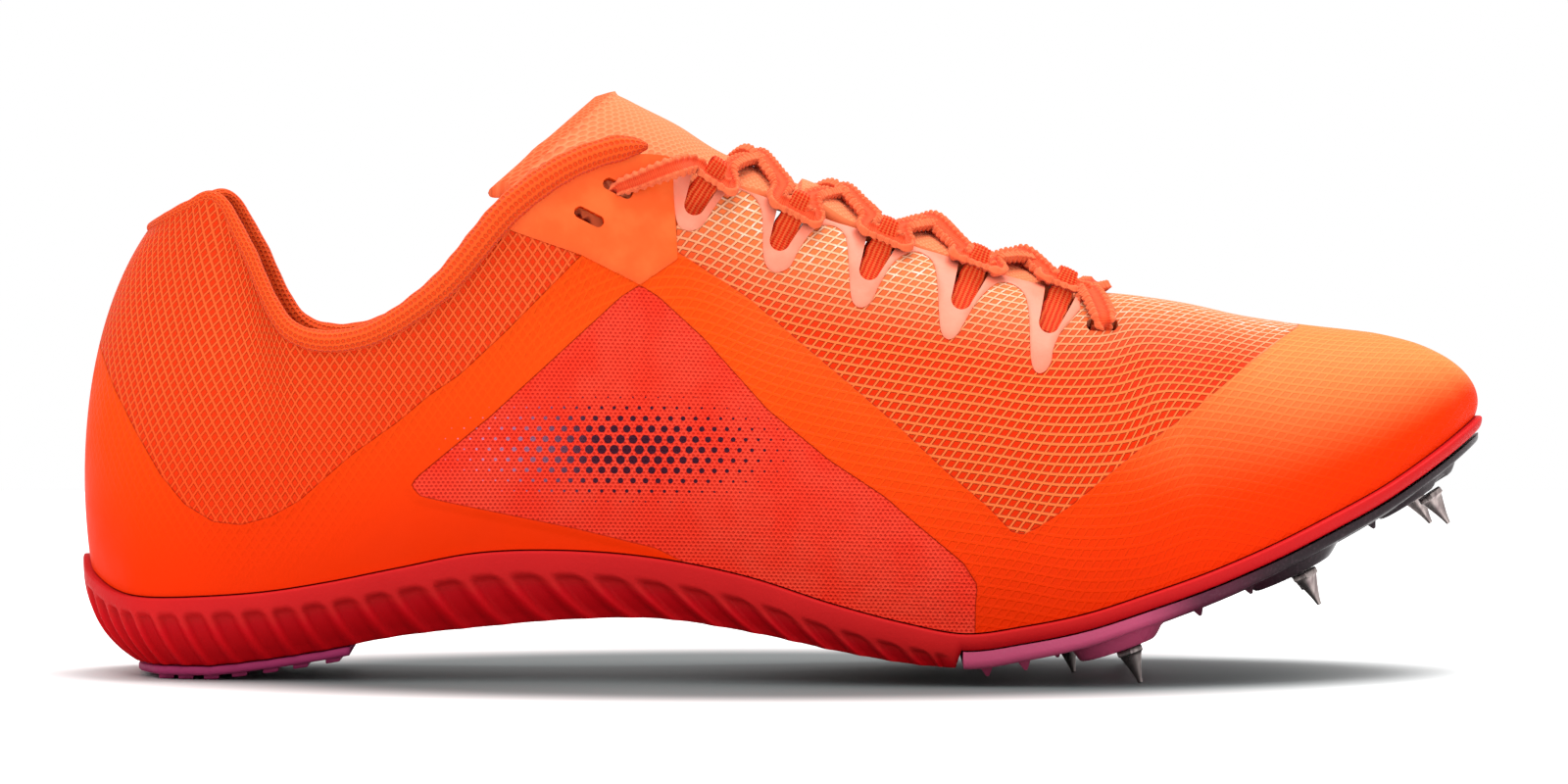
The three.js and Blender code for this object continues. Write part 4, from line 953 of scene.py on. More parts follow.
def make_upper():
    sheet, faces = both_sides([upper_sheet(side, 0, LAST, 320, 66) for side in SIDES])
    points, normals = surface(sheet)
    sheet["n"] = normals
    points, faces, sheet = weld(points, faces, sheet)
    normals = sheet.pop("n")
    faces = facing(points, faces, normals)
    points = even_out(points, faces, smooth(19.5, 21.5, sheet["s"]) * smooth(0.75, 0.95, sheet["h"]), 24)
    crown = (smooth(17.0, 19.0, sheet["s"]) * smooth(0.8, 0.9, sheet["h"]))[:, None]
    normals = unit(normals * (1 - crown) + corner_normals(points, faces) * crown)
    inner = points - normals * WALL
    verts, all_faces = thicken(points, inner, faces)
    x, z = points[:, 0], points[:, 2]
    values = {
        "heel_mesh": inside(HEEL_MESH, x, z),
        "coral_knit": inside(CORAL_KNIT, x, z),
        "vamp_mesh": inside(VAMP_MESH, x, z),
        "lift": np.clip((z - feather(sheet["s"], LATERAL)[:, 2]) / 60, 0, 1),
        # facing_up is the upward tilt of the surface, which the film uses for its painted highlight from above.
        "facing_up": normals[:, 2],
    }
    values = {key: np.concatenate([value, value]) for key, value in values.items()}
    sole_uv = np.stack([sheet["u"], sheet["v"]], 1)
    top_uv = np.stack([sheet["u"], sheet["w"]], 1)
    uvs = {"from_sole": np.concatenate([sole_uv] * 2), "from_top": np.concatenate([top_uv] * 2)}
    lining = np.zeros(len(all_faces), int)
    lining[len(faces):2 * len(faces)] = 1
    shell = make_object("upper_shell", verts, all_faces, [ORANGE_FILM, LINING], values, uvs, lining)
    place(shell, "upper_film", "upper")


def film_piece(name, side, low, high, rows, columns, bottom, keep, material, slot, node, thick=0.5):
    sheet, faces = upper_sheet(side, low, high, rows, columns, bottom, 1.0, keep)
    points, normals = surface(sheet)
    faces = facing(points, faces, normals)
    soft = np.sqrt(np.clip(sheet["edge"] / 1.2, 0, 1))
    outer = points + normals * (0.06 + 0.12 + (thick - 0.12) * soft)[:, None]
    verts, all_faces = thicken(outer, points + normals * 0.04, faces)
    film = make_object(name, verts, all_faces, material)
    place(film, slot, node)


def top_panel_keep(side, x, z):
    return inside(TOP_PANEL, x, z)


def zigzag_keep(side, x, z):
    return inside(ZIGZAG, x, z)


# Swept pieces
def frames_along(points, ups):
    points = np.asarray(points, float)
    along = unit(np.gradient(points, axis=0))
    across = unit(np.cross(ups, along))
    return along, across, unit(np.cross(along, across))


def curve_through(points, spacing):
    """Points at an even spacing on a smooth curve through the given ones."""
    points = np.asarray(points, float)
    ends = np.concatenate([[2 * points[0] - points[1]], points, [2 * points[-1] - points[-2]]])
    fine = [hermite(ends[i], ends[i + 1], ends[i + 2], ends[i + 3], np.linspace(0, 1, 24, endpoint=False)[:, None])
            for i in range(len(points) - 1)]
    fine = np.concatenate(fine + [points[-1:]])
    reach = np.concatenate([[0], np.cumsum(np.linalg.norm(np.diff(fine, axis=0), axis=1))])
    count = max(8, int(reach[-1] / spacing))
    at = np.linspace(0, reach[-1], count)
    return np.stack([np.interp(at, reach, fine[:, k]) for k in range(fine.shape[1])], 1), at


def make_collar_roll():
    count, ring = 420, 20
    places = np.linspace(-ROLL_END, ROLL_END, count)
    station, side_of = np.abs(places), np.where(places < 0, LATERAL, MEDIAL)
    def edge_at(at):
        lateral, medial = top_line(np.abs(at), LATERAL), top_line(np.abs(at), MEDIAL)
        return np.where((at < 0)[:, None], lateral, medial)
    edge = edge_at(places)
    along = unit(edge_at(places + 0.05) - edge_at(places - 0.05))
    up = np.zeros_like(along)
    up[:, 2] = 1
    up = unit(up - along * along[:, 2:3])
    out = unit(np.cross(up, along))
    radius = between(ROLL, station)
    taper = np.sqrt(np.clip((ROLL_END - station) / 0.35, 0.05, 1))
    tuck = 0.25 * smooth(5.5, 4.0, station)
    centre = edge + up * (radius * 0.6)[:, None] + out * ((0.3 - tuck) * radius - WALL / 2)[:, None]
    reach = np.concatenate([[0], np.cumsum(np.linalg.norm(np.diff(centre, axis=0), axis=1))])
    angle = np.linspace(0, 2 * math.pi, ring + 1)
    fold = 1 + 0.03 * np.sin(reach * 1.1)[:, None] * np.cos(2 * angle)[None, :]
    size = (radius * taper)[:, None] * fold
    verts = centre[:, None] + up[:, None] * (size * np.cos(angle))[..., None] + out[:, None] * (size * np.sin(angle))[..., None]
    uv = np.stack(np.broadcast_arrays(reach[:, None], (angle / (2 * math.pi))[None, :] * 15.4), -1)
    faces = grid_faces(count, ring + 1)
    roll = make_object("collar_roll_knit", verts.reshape(-1, 3), faces, ROLL_KNIT, uvs={"knit": uv.reshape(-1, 2)})
    close_up(roll)
    place(roll, "knit", "collar_roll")


def close_up(obj, distance=1e-6):
    work = bmesh.new()
    work.from_mesh(obj.data)
    bmesh.ops.remove_doubles(work, verts=work.verts, dist=distance)
    bmesh.ops.holes_fill(work, edges=[edge for edge in work.edges if edge.is_boundary])
    bmesh.ops.recalc_face_normals(work, faces=work.faces)
    work.to_mesh(obj.data)
    work.free()


def loop_frame(station, side):
    mouth = top_line(station, side)
    low, _ = notch_axis(station, side)
    foot = upper_point(*(lambda sh: (sh[0], side, sh[1]))(seen_at(low[0], low[1], side, station, 0.9)))
    inward = unit(mouth - foot)
    edge = unit(top_line(station + STEP, side) - top_line(station - STEP, side))
    normal = unit(np.cross(inward, edge) * side)
    along = unit(np.cross(normal, inward) * side)
    lace = mouth + inward * (LOOP_THICKNESS + LACE_PASS - LACE_SUNK) + normal * (LACE_THICKNESS / 2 + FILM + LACE_FLOAT)
    return {"normal": normal, "along": along, "inward": inward, "lace": lace, "mouth": mouth, "foot": foot, "side": side}


LOOPS = {(side, index): loop_frame(station, side) for side in SIDES for index, station in enumerate(NOTCH_STATIONS)}


def make_loop(side, index):
    """Ribbed webbing folded round the lace, its two layers running down into the notch."""
    loop = LOOPS[side, index]
    fold = LACE_PASS + 0.2
    path = [(-16, -6.4, 5.0), (-10, -5.2, 4.9), (-5.4, -4.1, 4.9), (-2.4, -2.6, 4.5), (0, -fold, 3.6)]
    path += [(fold * math.sin(t), -fold * math.cos(t), 3.4) for t in np.linspace(0.35, math.pi - 0.35, 8)]
    path += [(0, fold, 3.6), (-2.2, -0.2, 4.4), (-4.8, -2.4, 4.9), (-8.4, -4.0, 4.9), (-16, -5.6, 5.0)]
    line = [[*(loop["lace"] + loop["inward"] * a + loop["normal"] * b), width] for a, b, width in path]
    packed, reach = curve_through(line, 0.3)
    points, widths = packed[:, :3], packed[:, 3]
    across = unit(np.cross(loop["inward"], loop["normal"]))
    along = unit(np.gradient(points, axis=0))
    up = unit(np.cross(along, across))
    ribs, ring = 5, 44
    angle = np.linspace(0, 2 * math.pi, ring + 1)
    aside = np.sign(np.cos(angle)) * np.abs(np.cos(angle)) ** 0.7
    above = np.sign(np.sin(angle)) * np.abs(np.sin(angle)) ** 0.7
    cords = 1 + 0.3 * np.cos(aside * math.pi * ribs)
    half = widths / 2 * (1 + 0.04 * np.sin(reach * 1.7 + index))
    verts = (points[:, None] + across * (half[:, None] * aside)[..., None]
             + up[:, None] * (LOOP_THICKNESS * 0.36 * above * cords)[None, :, None])
    uv = np.stack(np.broadcast_arrays(reach[:, None], (aside * LOOP_WIDTH / 2)[None, :]), -1)
    name = "lateral" if side == LATERAL else "medial"
    node = f"lace_loop_{name}_{index + 1}"
    obj = make_object(node + "_webbing", verts.reshape(-1, 3), grid_faces(len(points), ring + 1), WEBBING,
                      uvs={"web": uv.reshape(-1, 2)})
    close_up(obj)
    place(obj, "webbing", node)


def tongue_row(column, place_):
    rows = TONGUE[column]
    place_ = np.asarray(place_, float)
    first = np.clip(np.floor(place_).astype(int), 0, len(rows) - 2)
    pick = lambda index: rows[np.clip(index, 0, len(rows) - 1)]
    return hermite(pick(first - 1), pick(first), pick(first + 1), pick(first + 2), place_ - first)


def tongue_point(place_, across, sunk=0.0):
    bow = across * across
    raised = 1.5 * smooth(2.0, 4.0, place_) * smooth(7.4, 6.6, place_)
    return stack(
        (tongue_row("x", place_) - tongue_row("sweep", place_) * bow) * LENGTH,
        tongue_row("half", place_) * across * WIDTH,
        (tongue_row("crown", place_) - tongue_row("fall", place_) * bow) * HEIGHT - sunk + raised,
    )


def tongue_height(x, y):
    places = np.linspace(0, len(TONGUE["x"]) - 1, 400)
    at = float(np.interp(x, tongue_row("x", places) * LENGTH, places))
    across = y / (float(tongue_row("half", at)) * WIDTH)
    return float(tongue_point(at, across)[2])


def lane(loop):
    return loop["lace"] - loop["inward"] * (LACE_PULLED / 2)


def lace_path(start_side, over_even):
    """Points, ups and widths of one half of the lace, from the middle of the front bar to the top slot."""
    points, ups, widths = [], [], []
    top = np.array([0.0, 0.0, 1.0])

    def put(point, up, width, press=0.0):
        points.append(np.asarray(point, float))
        ups.append(np.asarray(up, float))
        widths.append((width, press))

    side = start_side
    slot_x, slot_z = FRONT_SLOT[0] * LENGTH, FRONT_SLOT[1] * HEIGHT
    s, h = seen_at(slot_x, slot_z, side, 17.5, 0.9)
    skin, normal = upper_point(s, side, h), upper_normal(s, side, h)
    ridge = upper_point(s, side, 1.0)
    put((slot_x, ridge[1] * 0.02, ridge[2] + 1.9), top, 5.6)
    for step in (0.93, 0.86, 0.8, 0.7, 0.55, 0.35):
        height = h + (1 - h) * step
        at = upper_point(s, side, height) + upper_normal(s, side, height) * 1.7
        put(at, upper_normal(s, side, height), 5.6)
    put(skin + normal * 1.2 + np.array([0, 0, 0.3]), normal, 5.0)
    put(skin - normal * 1.6, -top * 0.4 + normal, 3.2)
    put(skin - normal * 3.2 + np.array([-4.0, 0, 0.2]), top, 3.2)
    for index in range(len(NOTCH_STATIONS) - 1, -1, -1):
        loop = LOOPS[side, index]
        place_ = lane(loop)
        reach = LOOP_WIDTH / 2
        for far in (reach + 2.2, reach * 0.6, -reach * 0.6, -reach - 2.2):
            put(place_ + loop["along"] * far, loop["normal"], LACE_PULLED, float(abs(far) < reach))
        if index == 0:
            break
        ahead = lane(LOOPS[-side, index - 1])
        lifted = over_even == (index % 2 == 0)
        for part in (0.16, 0.3, 0.42, 0.5, 0.58, 0.7, 0.84):
            at = place_ + (ahead - place_) * part
            hill = math.exp(-((part - 0.5) / 0.16) ** 2)
            clear = tongue_height(at[0], at[1]) + LACE_THICKNESS * 0.55 + 0.5
            at[2] = max(at[2], clear) + (1.5 * hill if lifted else 0.0)
            put(at, top, 5.0)
        side = -side
    loop = LOOPS[side, 0]
    slot_x, slot_z = TOP_SLOTS[1][0] * LENGTH, TOP_SLOTS[1][1] * HEIGHT
    s1, h1 = seen_at(slot_x, slot_z, side, 10.8, 0.95)
    skin, normal = upper_point(s1, side, h1), upper_normal(s1, side, h1)
    last = points[-1]
    for part in (0.25, 0.5, 0.75, 0.9):
        at = last + (skin - last) * part
        at = at + normal * (2.2 * math.sin(math.pi * min(part + 0.2, 1)) + 1.0)
        put(at, normal, 5.0 - part * 1.4)
    put(skin + normal * 0.2, normal, 3.0)
    put(skin - normal * 2.2 + np.array([-0.6, 0, -0.8]), normal, 2.8)
    put(skin - normal * 3.2 + np.array([-1.0, 0, -4.0]), top, 2.8)
    return np.array(points), np.array(ups), np.array(widths)


def make_lace():
    verts_all, faces_all, uv_all, start = [], [], [], 0
    ring = 32
    for start_side, over_even in ((LATERAL, True), (MEDIAL, False)):
        points, ups, widths = lace_path(start_side, over_even)
        packed = np.concatenate([points, ups, widths], 1)
        fine, reach = curve_through(packed, 0.25)
        points, ups, widths, press = fine[:, :3], unit(fine[:, 3:6]), fine[:, 6], fine[:, 7]
        for _ in range(6):
            points[1:-1] = points[1:-1] * 0.5 + (points[:-2] + points[2:]) * 0.25
        along, across, up = frames_along(points, ups)
        angle = np.linspace(0, 2 * math.pi, ring + 1)
        aside, above = np.cos(angle), np.sin(angle)
        tight = (4.8 - widths) / 1.6
        cords = np.exp(-((np.abs(aside) - 0.66) / 0.26) ** 2)[None, :]
        turn = reach[:, None] * (2 * math.pi / 1.7) + np.where(aside > 0, 0.0, math.pi)[None, :]
        bead = 1 + 0.34 * np.sin(turn) * cords
        twist = 0.25 * np.sin(reach * 0.09 + start_side)
        thick = ((1.1 + 0.2 * tight) * (1 - 0.42 * np.clip(press, 0, 1)))[:, None] * (0.34 + 0.95 * cords) * bead
        wide = (widths / 2)[:, None] * (1 + 0.11 * np.sin(turn) * np.abs(aside)[None, :] ** 2)
        a, b = wide * aside, thick * above
        cos, sin = np.cos(twist)[:, None], np.sin(twist)[:, None]
        a, b = a * cos - b * sin, a * sin + b * cos
        verts = points[:, None] + across[:, None] * a[..., None] + up[:, None] * b[..., None]
        uv = np.stack(np.broadcast_arrays(reach[:, None], aside[None, :]), -1)
        verts_all.append(verts.reshape(-1, 3))
        uv_all.append(uv.reshape(-1, 2))
        faces_all.append(grid_faces(len(points), ring + 1) + start)
        start += len(points) * (ring + 1)
    obj = make_object("lace_ribbon", np.concatenate(verts_all), np.concatenate(faces_all), LACE,
                      uvs={"lace": np.concatenate(uv_all)}, smooth_angle=0)
    close_up(obj)
    place(obj, "lace", "lace_crossings")


def inner_form(inset, reach=14.0, rows=160, columns=24):
    """Closed form of the room inside the upper, run on upwards past the collar and the throat."""
    rings = []
    for station in np.linspace(0, LAST, rows):
        ribs = []
        for side in SIDES:
            heights = np.linspace(0, 1, columns)
            rib = upper_point(station, side, heights) - upper_normal(station, side, heights) * inset
            top = rib[-1] + [0, 0, 0 if station >= RIDGE_START else reach]
            ribs.append(np.concatenate([[rib[0] - [0, 0, reach]], rib, [top]]))
        rings.append(np.concatenate([ribs[0], ribs[1][::-1]]))
    return np.array(rings)


FOLD_REAR = 146.5


def make_tongue():
    rows, columns = 190, 60
    places = np.linspace(0, len(TONGUE["x"]) - 1, rows)
    p, a = np.meshgrid(places, np.linspace(-1, 1, columns), indexing="ij")
    a = a * (1 + 0.3 * smooth(0.3, 1.2, p))
    outer = tongue_point(p, a)
    outer[..., 0] -= 2.6 * a * a * smooth(1.6, 0.0, p)
    outer[..., 2] -= 11.0 * smooth(0.66, 1.15, np.abs(a)) * smooth(1.2, 2.2, p)
    past_fold = outer[..., 0] - FOLD_REAR
    outer[..., 2] += 1.5 * smooth(0.0, 0.9, past_fold) * smooth(11.0, 4.0, past_fold) * smooth(0.95, 0.8, np.abs(a))
    hem = smooth(0.62, 0.5, p) * 0.7 + 0.35 * np.exp(-((np.abs(a) - 0.78) / 0.05) ** 2)
    outer[..., 2] += hem
    edge = np.minimum(np.minimum(p / 0.35, 1), 1)
    pad = 0.35 * np.sin(np.clip(p / 8, 0, 1) * math.pi * 9) * np.exp(-(a / 0.8) ** 4) * 0.35
    outer[..., 2] += pad
    inner = outer - np.array([0, 0, TONGUE_THICKNESS])
    swell = np.sqrt(np.clip(1 - (1 - edge) ** 2, 0, 1))
    middle = (outer + inner) / 2
    outer, inner = middle + (outer - middle) * swell[..., None], middle + (inner - middle) * swell[..., None]
    reach = np.cumsum(np.concatenate([[0], np.linalg.norm(np.diff(outer[:, columns // 2], axis=0), axis=1)]))
    uv = np.stack(np.broadcast_arrays(reach[:, None], a * 20), -1).reshape(-1, 2)
    faces = grid_faces(rows, columns)
    verts, faces = thicken(outer.reshape(-1, 3), inner.reshape(-1, 3), faces)
    bound = [int(p.ravel()[min(corner for corner in face) % (rows * columns)] < 0.5) for face in faces]
    tongue = make_object("tongue_padded", verts, faces, [TONGUE_KNIT, BINDING], uvs={"knit": np.concatenate([uv, uv])},
                         face_material=np.array(bound), smooth_angle=60)
    outward_faces(tongue)
    room = inner_form(WALL + TONGUE_CLEARANCE)
    flat = room.reshape(-1, 3)
    box = make_object("tongue_room", flat, grid_faces(room.shape[0], room.shape[1], True), TONGUE_KNIT)
    close_up(box, 2e-5)
    cut = tongue.modifiers.new("room", "BOOLEAN")
    cut.operation, cut.solver, cut.object = "INTERSECT", "EXACT", box
    apply_modifiers(tongue)
    bpy.data.objects.remove(box)
    place(tongue, "tongue", "tongue")


def apply_modifiers(obj):
    depsgraph = bpy.context.evaluated_depsgraph_get()
    mesh = bpy.data.meshes.new_from_object(obj.evaluated_get(depsgraph))
    obj.modifiers.clear()
    old = obj.data
    obj.data = mesh
    bpy.data.meshes.remove(old)


# Sole
def make_midsole():
    thick_rows = RIBS * 15 + 1
    stations = np.concatenate([np.linspace(0, STEP_STATION, thick_rows), [STEP_STATION + STEP_RUN / 2],
                               np.linspace(STEP_STATION + STEP_RUN, LAST, 150)])
    corner, levels = 5, 30
    pitch = STEP_STATION / RIBS
    sides = []
    for side in SIDES:
        base_station = np.repeat(stations[:, None], levels, 1)
        t = np.repeat(np.linspace(0, 1, levels)[None, :], len(stations), 0)
        ribbed = base_station <= STEP_STATION
        slant = np.where(ribbed, between(RIB_SLANT, base_station) * np.maximum(0, t - 0.2), 0)
        station = np.where(ribbed, np.minimum(base_station + slant, STEP_STATION), base_station)
        out = outward(station, side)
        foot = feather(station, side)
        top = foot + out * RIM_LEDGE
        top[..., 2] -= FIT + 0.5
        bottom = foot - out * sole_tuck(station, side)[..., None]
        bottom[..., 2] = sole_bottom(station, side)
        bend = top.copy()
        bend[..., 2] = bottom[..., 2] + (top[..., 2] - bottom[..., 2]) * 0.35
        full = np.maximum(top[..., 2] - bottom[..., 2], 0.1)
        down = t * full
        phase = (base_station / pitch) % 1.0
        ceiling = 1.7 + 1.4 * smooth(3, 9, base_station) + 1.6 * (2 * np.abs(phase - 0.5)) ** 4
        scoop = smooth(0.0, 1.1, down - ceiling) * (1 - 0.25 * smooth(0.8, 1.0, t))
        across_rib = smooth(0.0, 0.3, phase) * (1 - smooth(0.62, 0.98, phase))
        ends = smooth(0.0, 1.2, base_station) * 0.3 + 0.7
        depth = np.where(ribbed, scoop * across_rib * ends, 0)
        depth *= 1 - smooth(STEP_STATION - 0.5, STEP_STATION, base_station)
        rest = (1 - t)[..., None]
        tt = t[..., None]
        wall = top * rest**2 + bend * 2 * rest * tt + bottom * tt**2 - out * (depth * RIB_DEPTH)[..., None]
        angle = np.linspace(0, math.pi / 2, corner + 1)[:-1]
        first = wall[:, :1]
        o = outward(stations, side)[:, None]
        lip = first - o * 0.5 * (1 - np.sin(angle))[None, :, None] + np.array([0, 0, 1.0]) * 0.5 * np.cos(angle)[None, :, None]
        deep = np.array([0, 0, 1.0]) * 0.0
        inner = lip[:, :1] - o * 4 + deep
        under = wall[:, -1:] - o * 1.2 - np.array([0, 0, 0.0])
        # groove is the scoop depth, which the foam darkens as painted shade in the recesses.
        groove = np.concatenate([np.zeros((len(stations), corner + 1)), depth, np.zeros((len(stations), 1))], 1)
        # below runs from the smooth top band down to the underside; the foam darkens along it as painted shade.
        below = np.where(ribbed, smooth(0.0, 6.0, down - ceiling) + 0.4 * smooth(0.5, 1.0, t), 0.3 * t)
        below = np.concatenate([np.zeros((len(stations), corner + 1)), below, np.ones((len(stations), 1))], 1)
        sides.append((np.concatenate([inner, lip, wall, under], 1), groove, below))
    (lateral, groove_l, below_l), (medial, groove_m, below_m) = sides
    rings = np.concatenate([lateral, medial[:, ::-1]], 1)
    grooves = np.concatenate([groove_l, groove_m[:, ::-1]], 1)
    belows = np.concatenate([below_l, below_m[:, ::-1]], 1)
    columns = rings.shape[1]
    faces = grid_faces(len(stations), columns, True)
    obj = make_object("midsole_foam", rings.reshape(-1, 3), faces, FOAM,
                      {"groove": grooves.ravel(), "below_band": belows.ravel()}, smooth_angle=50)
    close_up(obj, 2e-5)
    place(obj, "foam", "midsole")


def make_insole():
    rows, columns = 120, 30
    stations = np.linspace(0.35, LAST - 0.35, rows)
    edges = []
    for side in SIDES:
        edge = feather(stations, side) - outward(stations, side) * (WALL + INSOLE_CLEARANCE)
        edge[:, 2] += FIT + INSOLE_THICKNESS
        edges.append(edge)
    t = np.linspace(0, 1, columns)
    top = edges[0][:, None] * (1 - t)[None, :, None] + edges[1][:, None] * t[None, :, None]
    cup = 1.2 * (np.abs(2 * t - 1) ** 3)[None, :]
    top[..., 2] += cup - 0.4
    low = top.copy()
    low[..., 2] -= INSOLE_THICKNESS - 0.4
    uv = np.stack([top[..., 0], top[..., 1]], -1).reshape(-1, 2)
    verts, faces = thicken(top.reshape(-1, 3), low.reshape(-1, 3), grid_faces(rows, columns))
    obj = make_object("insole_cloth_top", verts, faces, INSOLE_CLOTH, uvs={"knit": np.concatenate([uv, uv])})
    outward_faces(obj)
    place(obj, "knit", "insole")


# Spike plate, pins and heel rubber
def plate_top(station, side):
    return feather(station, side)[..., 2] - 2 * FIT - RIM_THICKNESS


def plate_thickness(station):
    t = (np.asarray(station, float) - STEP_STATION) / (LAST - STEP_STATION)
    return PLATE_REAR + (PLATE_FRONT - PLATE_REAR) * t


def plate_bottom_at(x):
    stations = np.linspace(STEP_STATION, LAST, 600)
    xs = feather(stations, LATERAL)[:, 0]
    return np.interp(x, xs, plate_top(stations, LATERAL) - plate_thickness(stations))


def plate_tilt(x):
    return math.atan2(plate_bottom_at(x + POD_RADIUS) - plate_bottom_at(x - POD_RADIUS), 2 * POD_RADIUS)


def spikes():
    for name, sx, sy, pod in SPIKES:
        x, y = sx * LENGTH, sy * WIDTH
        tilt = plate_tilt(x)
        z = PIN_LENGTH * math.cos(tilt) if name.endswith("rear") else float(plate_bottom_at(x)) - pod * HEIGHT
        yield name, x, y, z, tilt


PLATE_BARS = (
    ("lateral_rear", "lateral_middle"), ("medial_rear", "medial_middle"), ("lateral_middle", "lateral_front"),
    ("medial_middle", "medial_front"), ("central_rear", "lateral_rear"), ("central_rear", "medial_rear"),
    ("lateral_middle", "medial_middle"), ("lateral_front", "medial_front"),
)


def make_plate():
    rows, columns = 240, 130
    start = STEP_STATION + STEP_RUN + 0.04
    stations = np.linspace(start, LAST, rows)
    edges = []
    for side in SIDES:
        out = outward(stations, side)
        rim = feather(stations, side) + out * (RIM_LEDGE - PLATE_INSET)
        top = rim.copy()
        top[:, 2] = plate_top(stations, side)
        thick = plate_thickness(stations)
        profile = [top]
        for angle in np.linspace(0, math.pi / 2, 5):
            point = top - out * (PLATE_REAR / 2 * (1 - math.cos(angle)))
            point[:, 2] = top[:, 2] - thick * (0.5 + 0.5 * math.sin(angle))
            profile.append(point)
        edges.append(np.stack(profile, 1))
    lateral, medial = edges
    t = np.linspace(0, 1, columns)[1:-1]
    a, b = lateral[:, -1], medial[:, -1]
    under = a[:, None] * (1 - t)[None, :, None] + b[:, None] * t[None, :, None]
    places = {name: (x, y, z) for name, x, y, z, tilt in spikes()}
    drop = np.zeros(under.shape[:2])
    inside_rim = np.minimum(np.abs(under[..., 1] - a[:, None, 1]), np.abs(under[..., 1] - b[:, None, 1]))
    for first, second in PLATE_BARS:
        (ax, ay, _), (bx, by, _) = places[first], places[second]
        ex, ey = bx - ax, by - ay
        along = np.clip(((under[..., 0] - ax) * ex + (under[..., 1] - ay) * ey) / (ex * ex + ey * ey), 0, 1)
        far = np.hypot(under[..., 0] - ax - along * ex, under[..., 1] - ay - along * ey)
        drop = np.maximum(drop, 1.1 * smooth(3.0, 1.2, far))
    for x, y, z in places.values():
        depth = float(plate_bottom_at(x)) - z - FIT
        from_pin = np.hypot(under[..., 0] - x, under[..., 1] - y)
        far = np.hypot((under[..., 0] - x + POD_SET_BACK) / POD_STRETCH, under[..., 1] - y)
        lump = depth * smooth(POD_RADIUS + 2.6, POD_RADIUS + 0.2, far)
        lump = lump - 0.7 * smooth(PIN_FLANGE_RADIUS + 0.7, PIN_FLANGE_RADIUS + 0.2, from_pin)
        drop = np.where(far < POD_RADIUS + 2.6, np.maximum(drop, lump), drop)
    drop *= smooth(0.0, 1.6, inside_rim)
    under[..., 2] -= drop
    rings = np.concatenate([lateral, under, medial[:, ::-1]], 1)
    faces = grid_faces(rows, rings.shape[1], True)
    verts = rings.reshape(-1, 3)
    made, made_faces, count = [verts], [faces], len(verts)
    for tx, ty in TEETH:
        x, y = tx * LENGTH, ty * WIDTH
        tilt, base = plate_tilt(x), float(plate_bottom_at(x))
        rings_t = []
        for radius, deep in ((TOOTH_RADIUS * 1.3, 0.6), (TOOTH_RADIUS, -0.25), (TOOTH_RADIUS * 0.22, -TOOTH_HEIGHT), (0.01, -TOOTH_HEIGHT - 0.05)):
            corner = np.linspace(0, 2 * math.pi, 8, endpoint=False)
            square = 1 / np.maximum(np.abs(np.cos(corner)), np.abs(np.sin(corner))) ** 0.8
            px, py = radius * square * np.cos(corner) * 0.85, radius * square * np.sin(corner) * 0.85
            lx = px * math.cos(tilt) - deep * math.sin(tilt)
            lz = px * math.sin(tilt) + deep * math.cos(tilt)
            rings_t.append(np.stack([x + lx, y + py, base + lz], 1))
        made.append(np.concatenate(rings_t))
        made_faces.append(grid_faces(4, 8, True) + count)
        count += 32
    obj = make_object("spike_plate_moulded", np.concatenate(made), np.concatenate(made_faces), PLATE, smooth_angle=45)
    close_up(obj, 2e-6)
    place(obj, "plate", "spike_plate")


def make_pin(name, x, y, z, tilt):
    """Screwed pin: hexagonal flange, concave cone and a worn tip that ends on the ground."""
    ring = 36
    angle = np.linspace(0, 2 * math.pi, ring, endpoint=False)
    hexagon = math.cos(math.pi / 6) / np.cos((angle + math.pi / 6) % (math.pi / 3) - math.pi / 6)
    profile = [(0.02, 0.0, 0), (PIN_FLANGE_RADIUS * 0.96, 0.0, 1), (PIN_FLANGE_RADIUS, -0.15, 1),
               (PIN_FLANGE_RADIUS, -PIN_FLANGE_HEIGHT + 0.2, 1), (PIN_FLANGE_RADIUS * 0.93, -PIN_FLANGE_HEIGHT, 1),
               (PIN_RADIUS + 0.05, -PIN_FLANGE_HEIGHT, 0), (PIN_RADIUS * 0.92, -PIN_FLANGE_HEIGHT - 0.25, 0)]
    for t in np.linspace(0.06, 1, 14):
        radius = PIN_TIP + (PIN_RADIUS * 0.92 - PIN_TIP) * (1 - t) ** 1.25
        profile.append((radius, -PIN_FLANGE_HEIGHT - 0.25 - t * (PIN_LENGTH - PIN_FLANGE_HEIGHT - 0.4), 0))
    profile += [(PIN_TIP * 0.7, -PIN_LENGTH + 0.03, 0), (0.01, -PIN_LENGTH, 0)]
    rings = []
    for radius, deep, six in profile:
        facets = 1 + 0.05 * np.cos(angle * 4) if not six else hexagon
        px, py = radius * facets * np.cos(angle), radius * facets * np.sin(angle)
        rings.append(np.stack([x + px * math.cos(tilt) - deep * math.sin(tilt), y + py,
                               z + px * math.sin(tilt) + deep * math.cos(tilt)], 1))
    verts = np.concatenate(rings)
    verts[:, 2] = np.maximum(verts[:, 2], 0.0)
    obj = make_object(f"pin_{name}", verts, grid_faces(len(profile), ring, True), STEEL, smooth_angle=35)
    close_up(obj, 1e-6)
    place(obj, "steel", f"spike_pin_{name}")


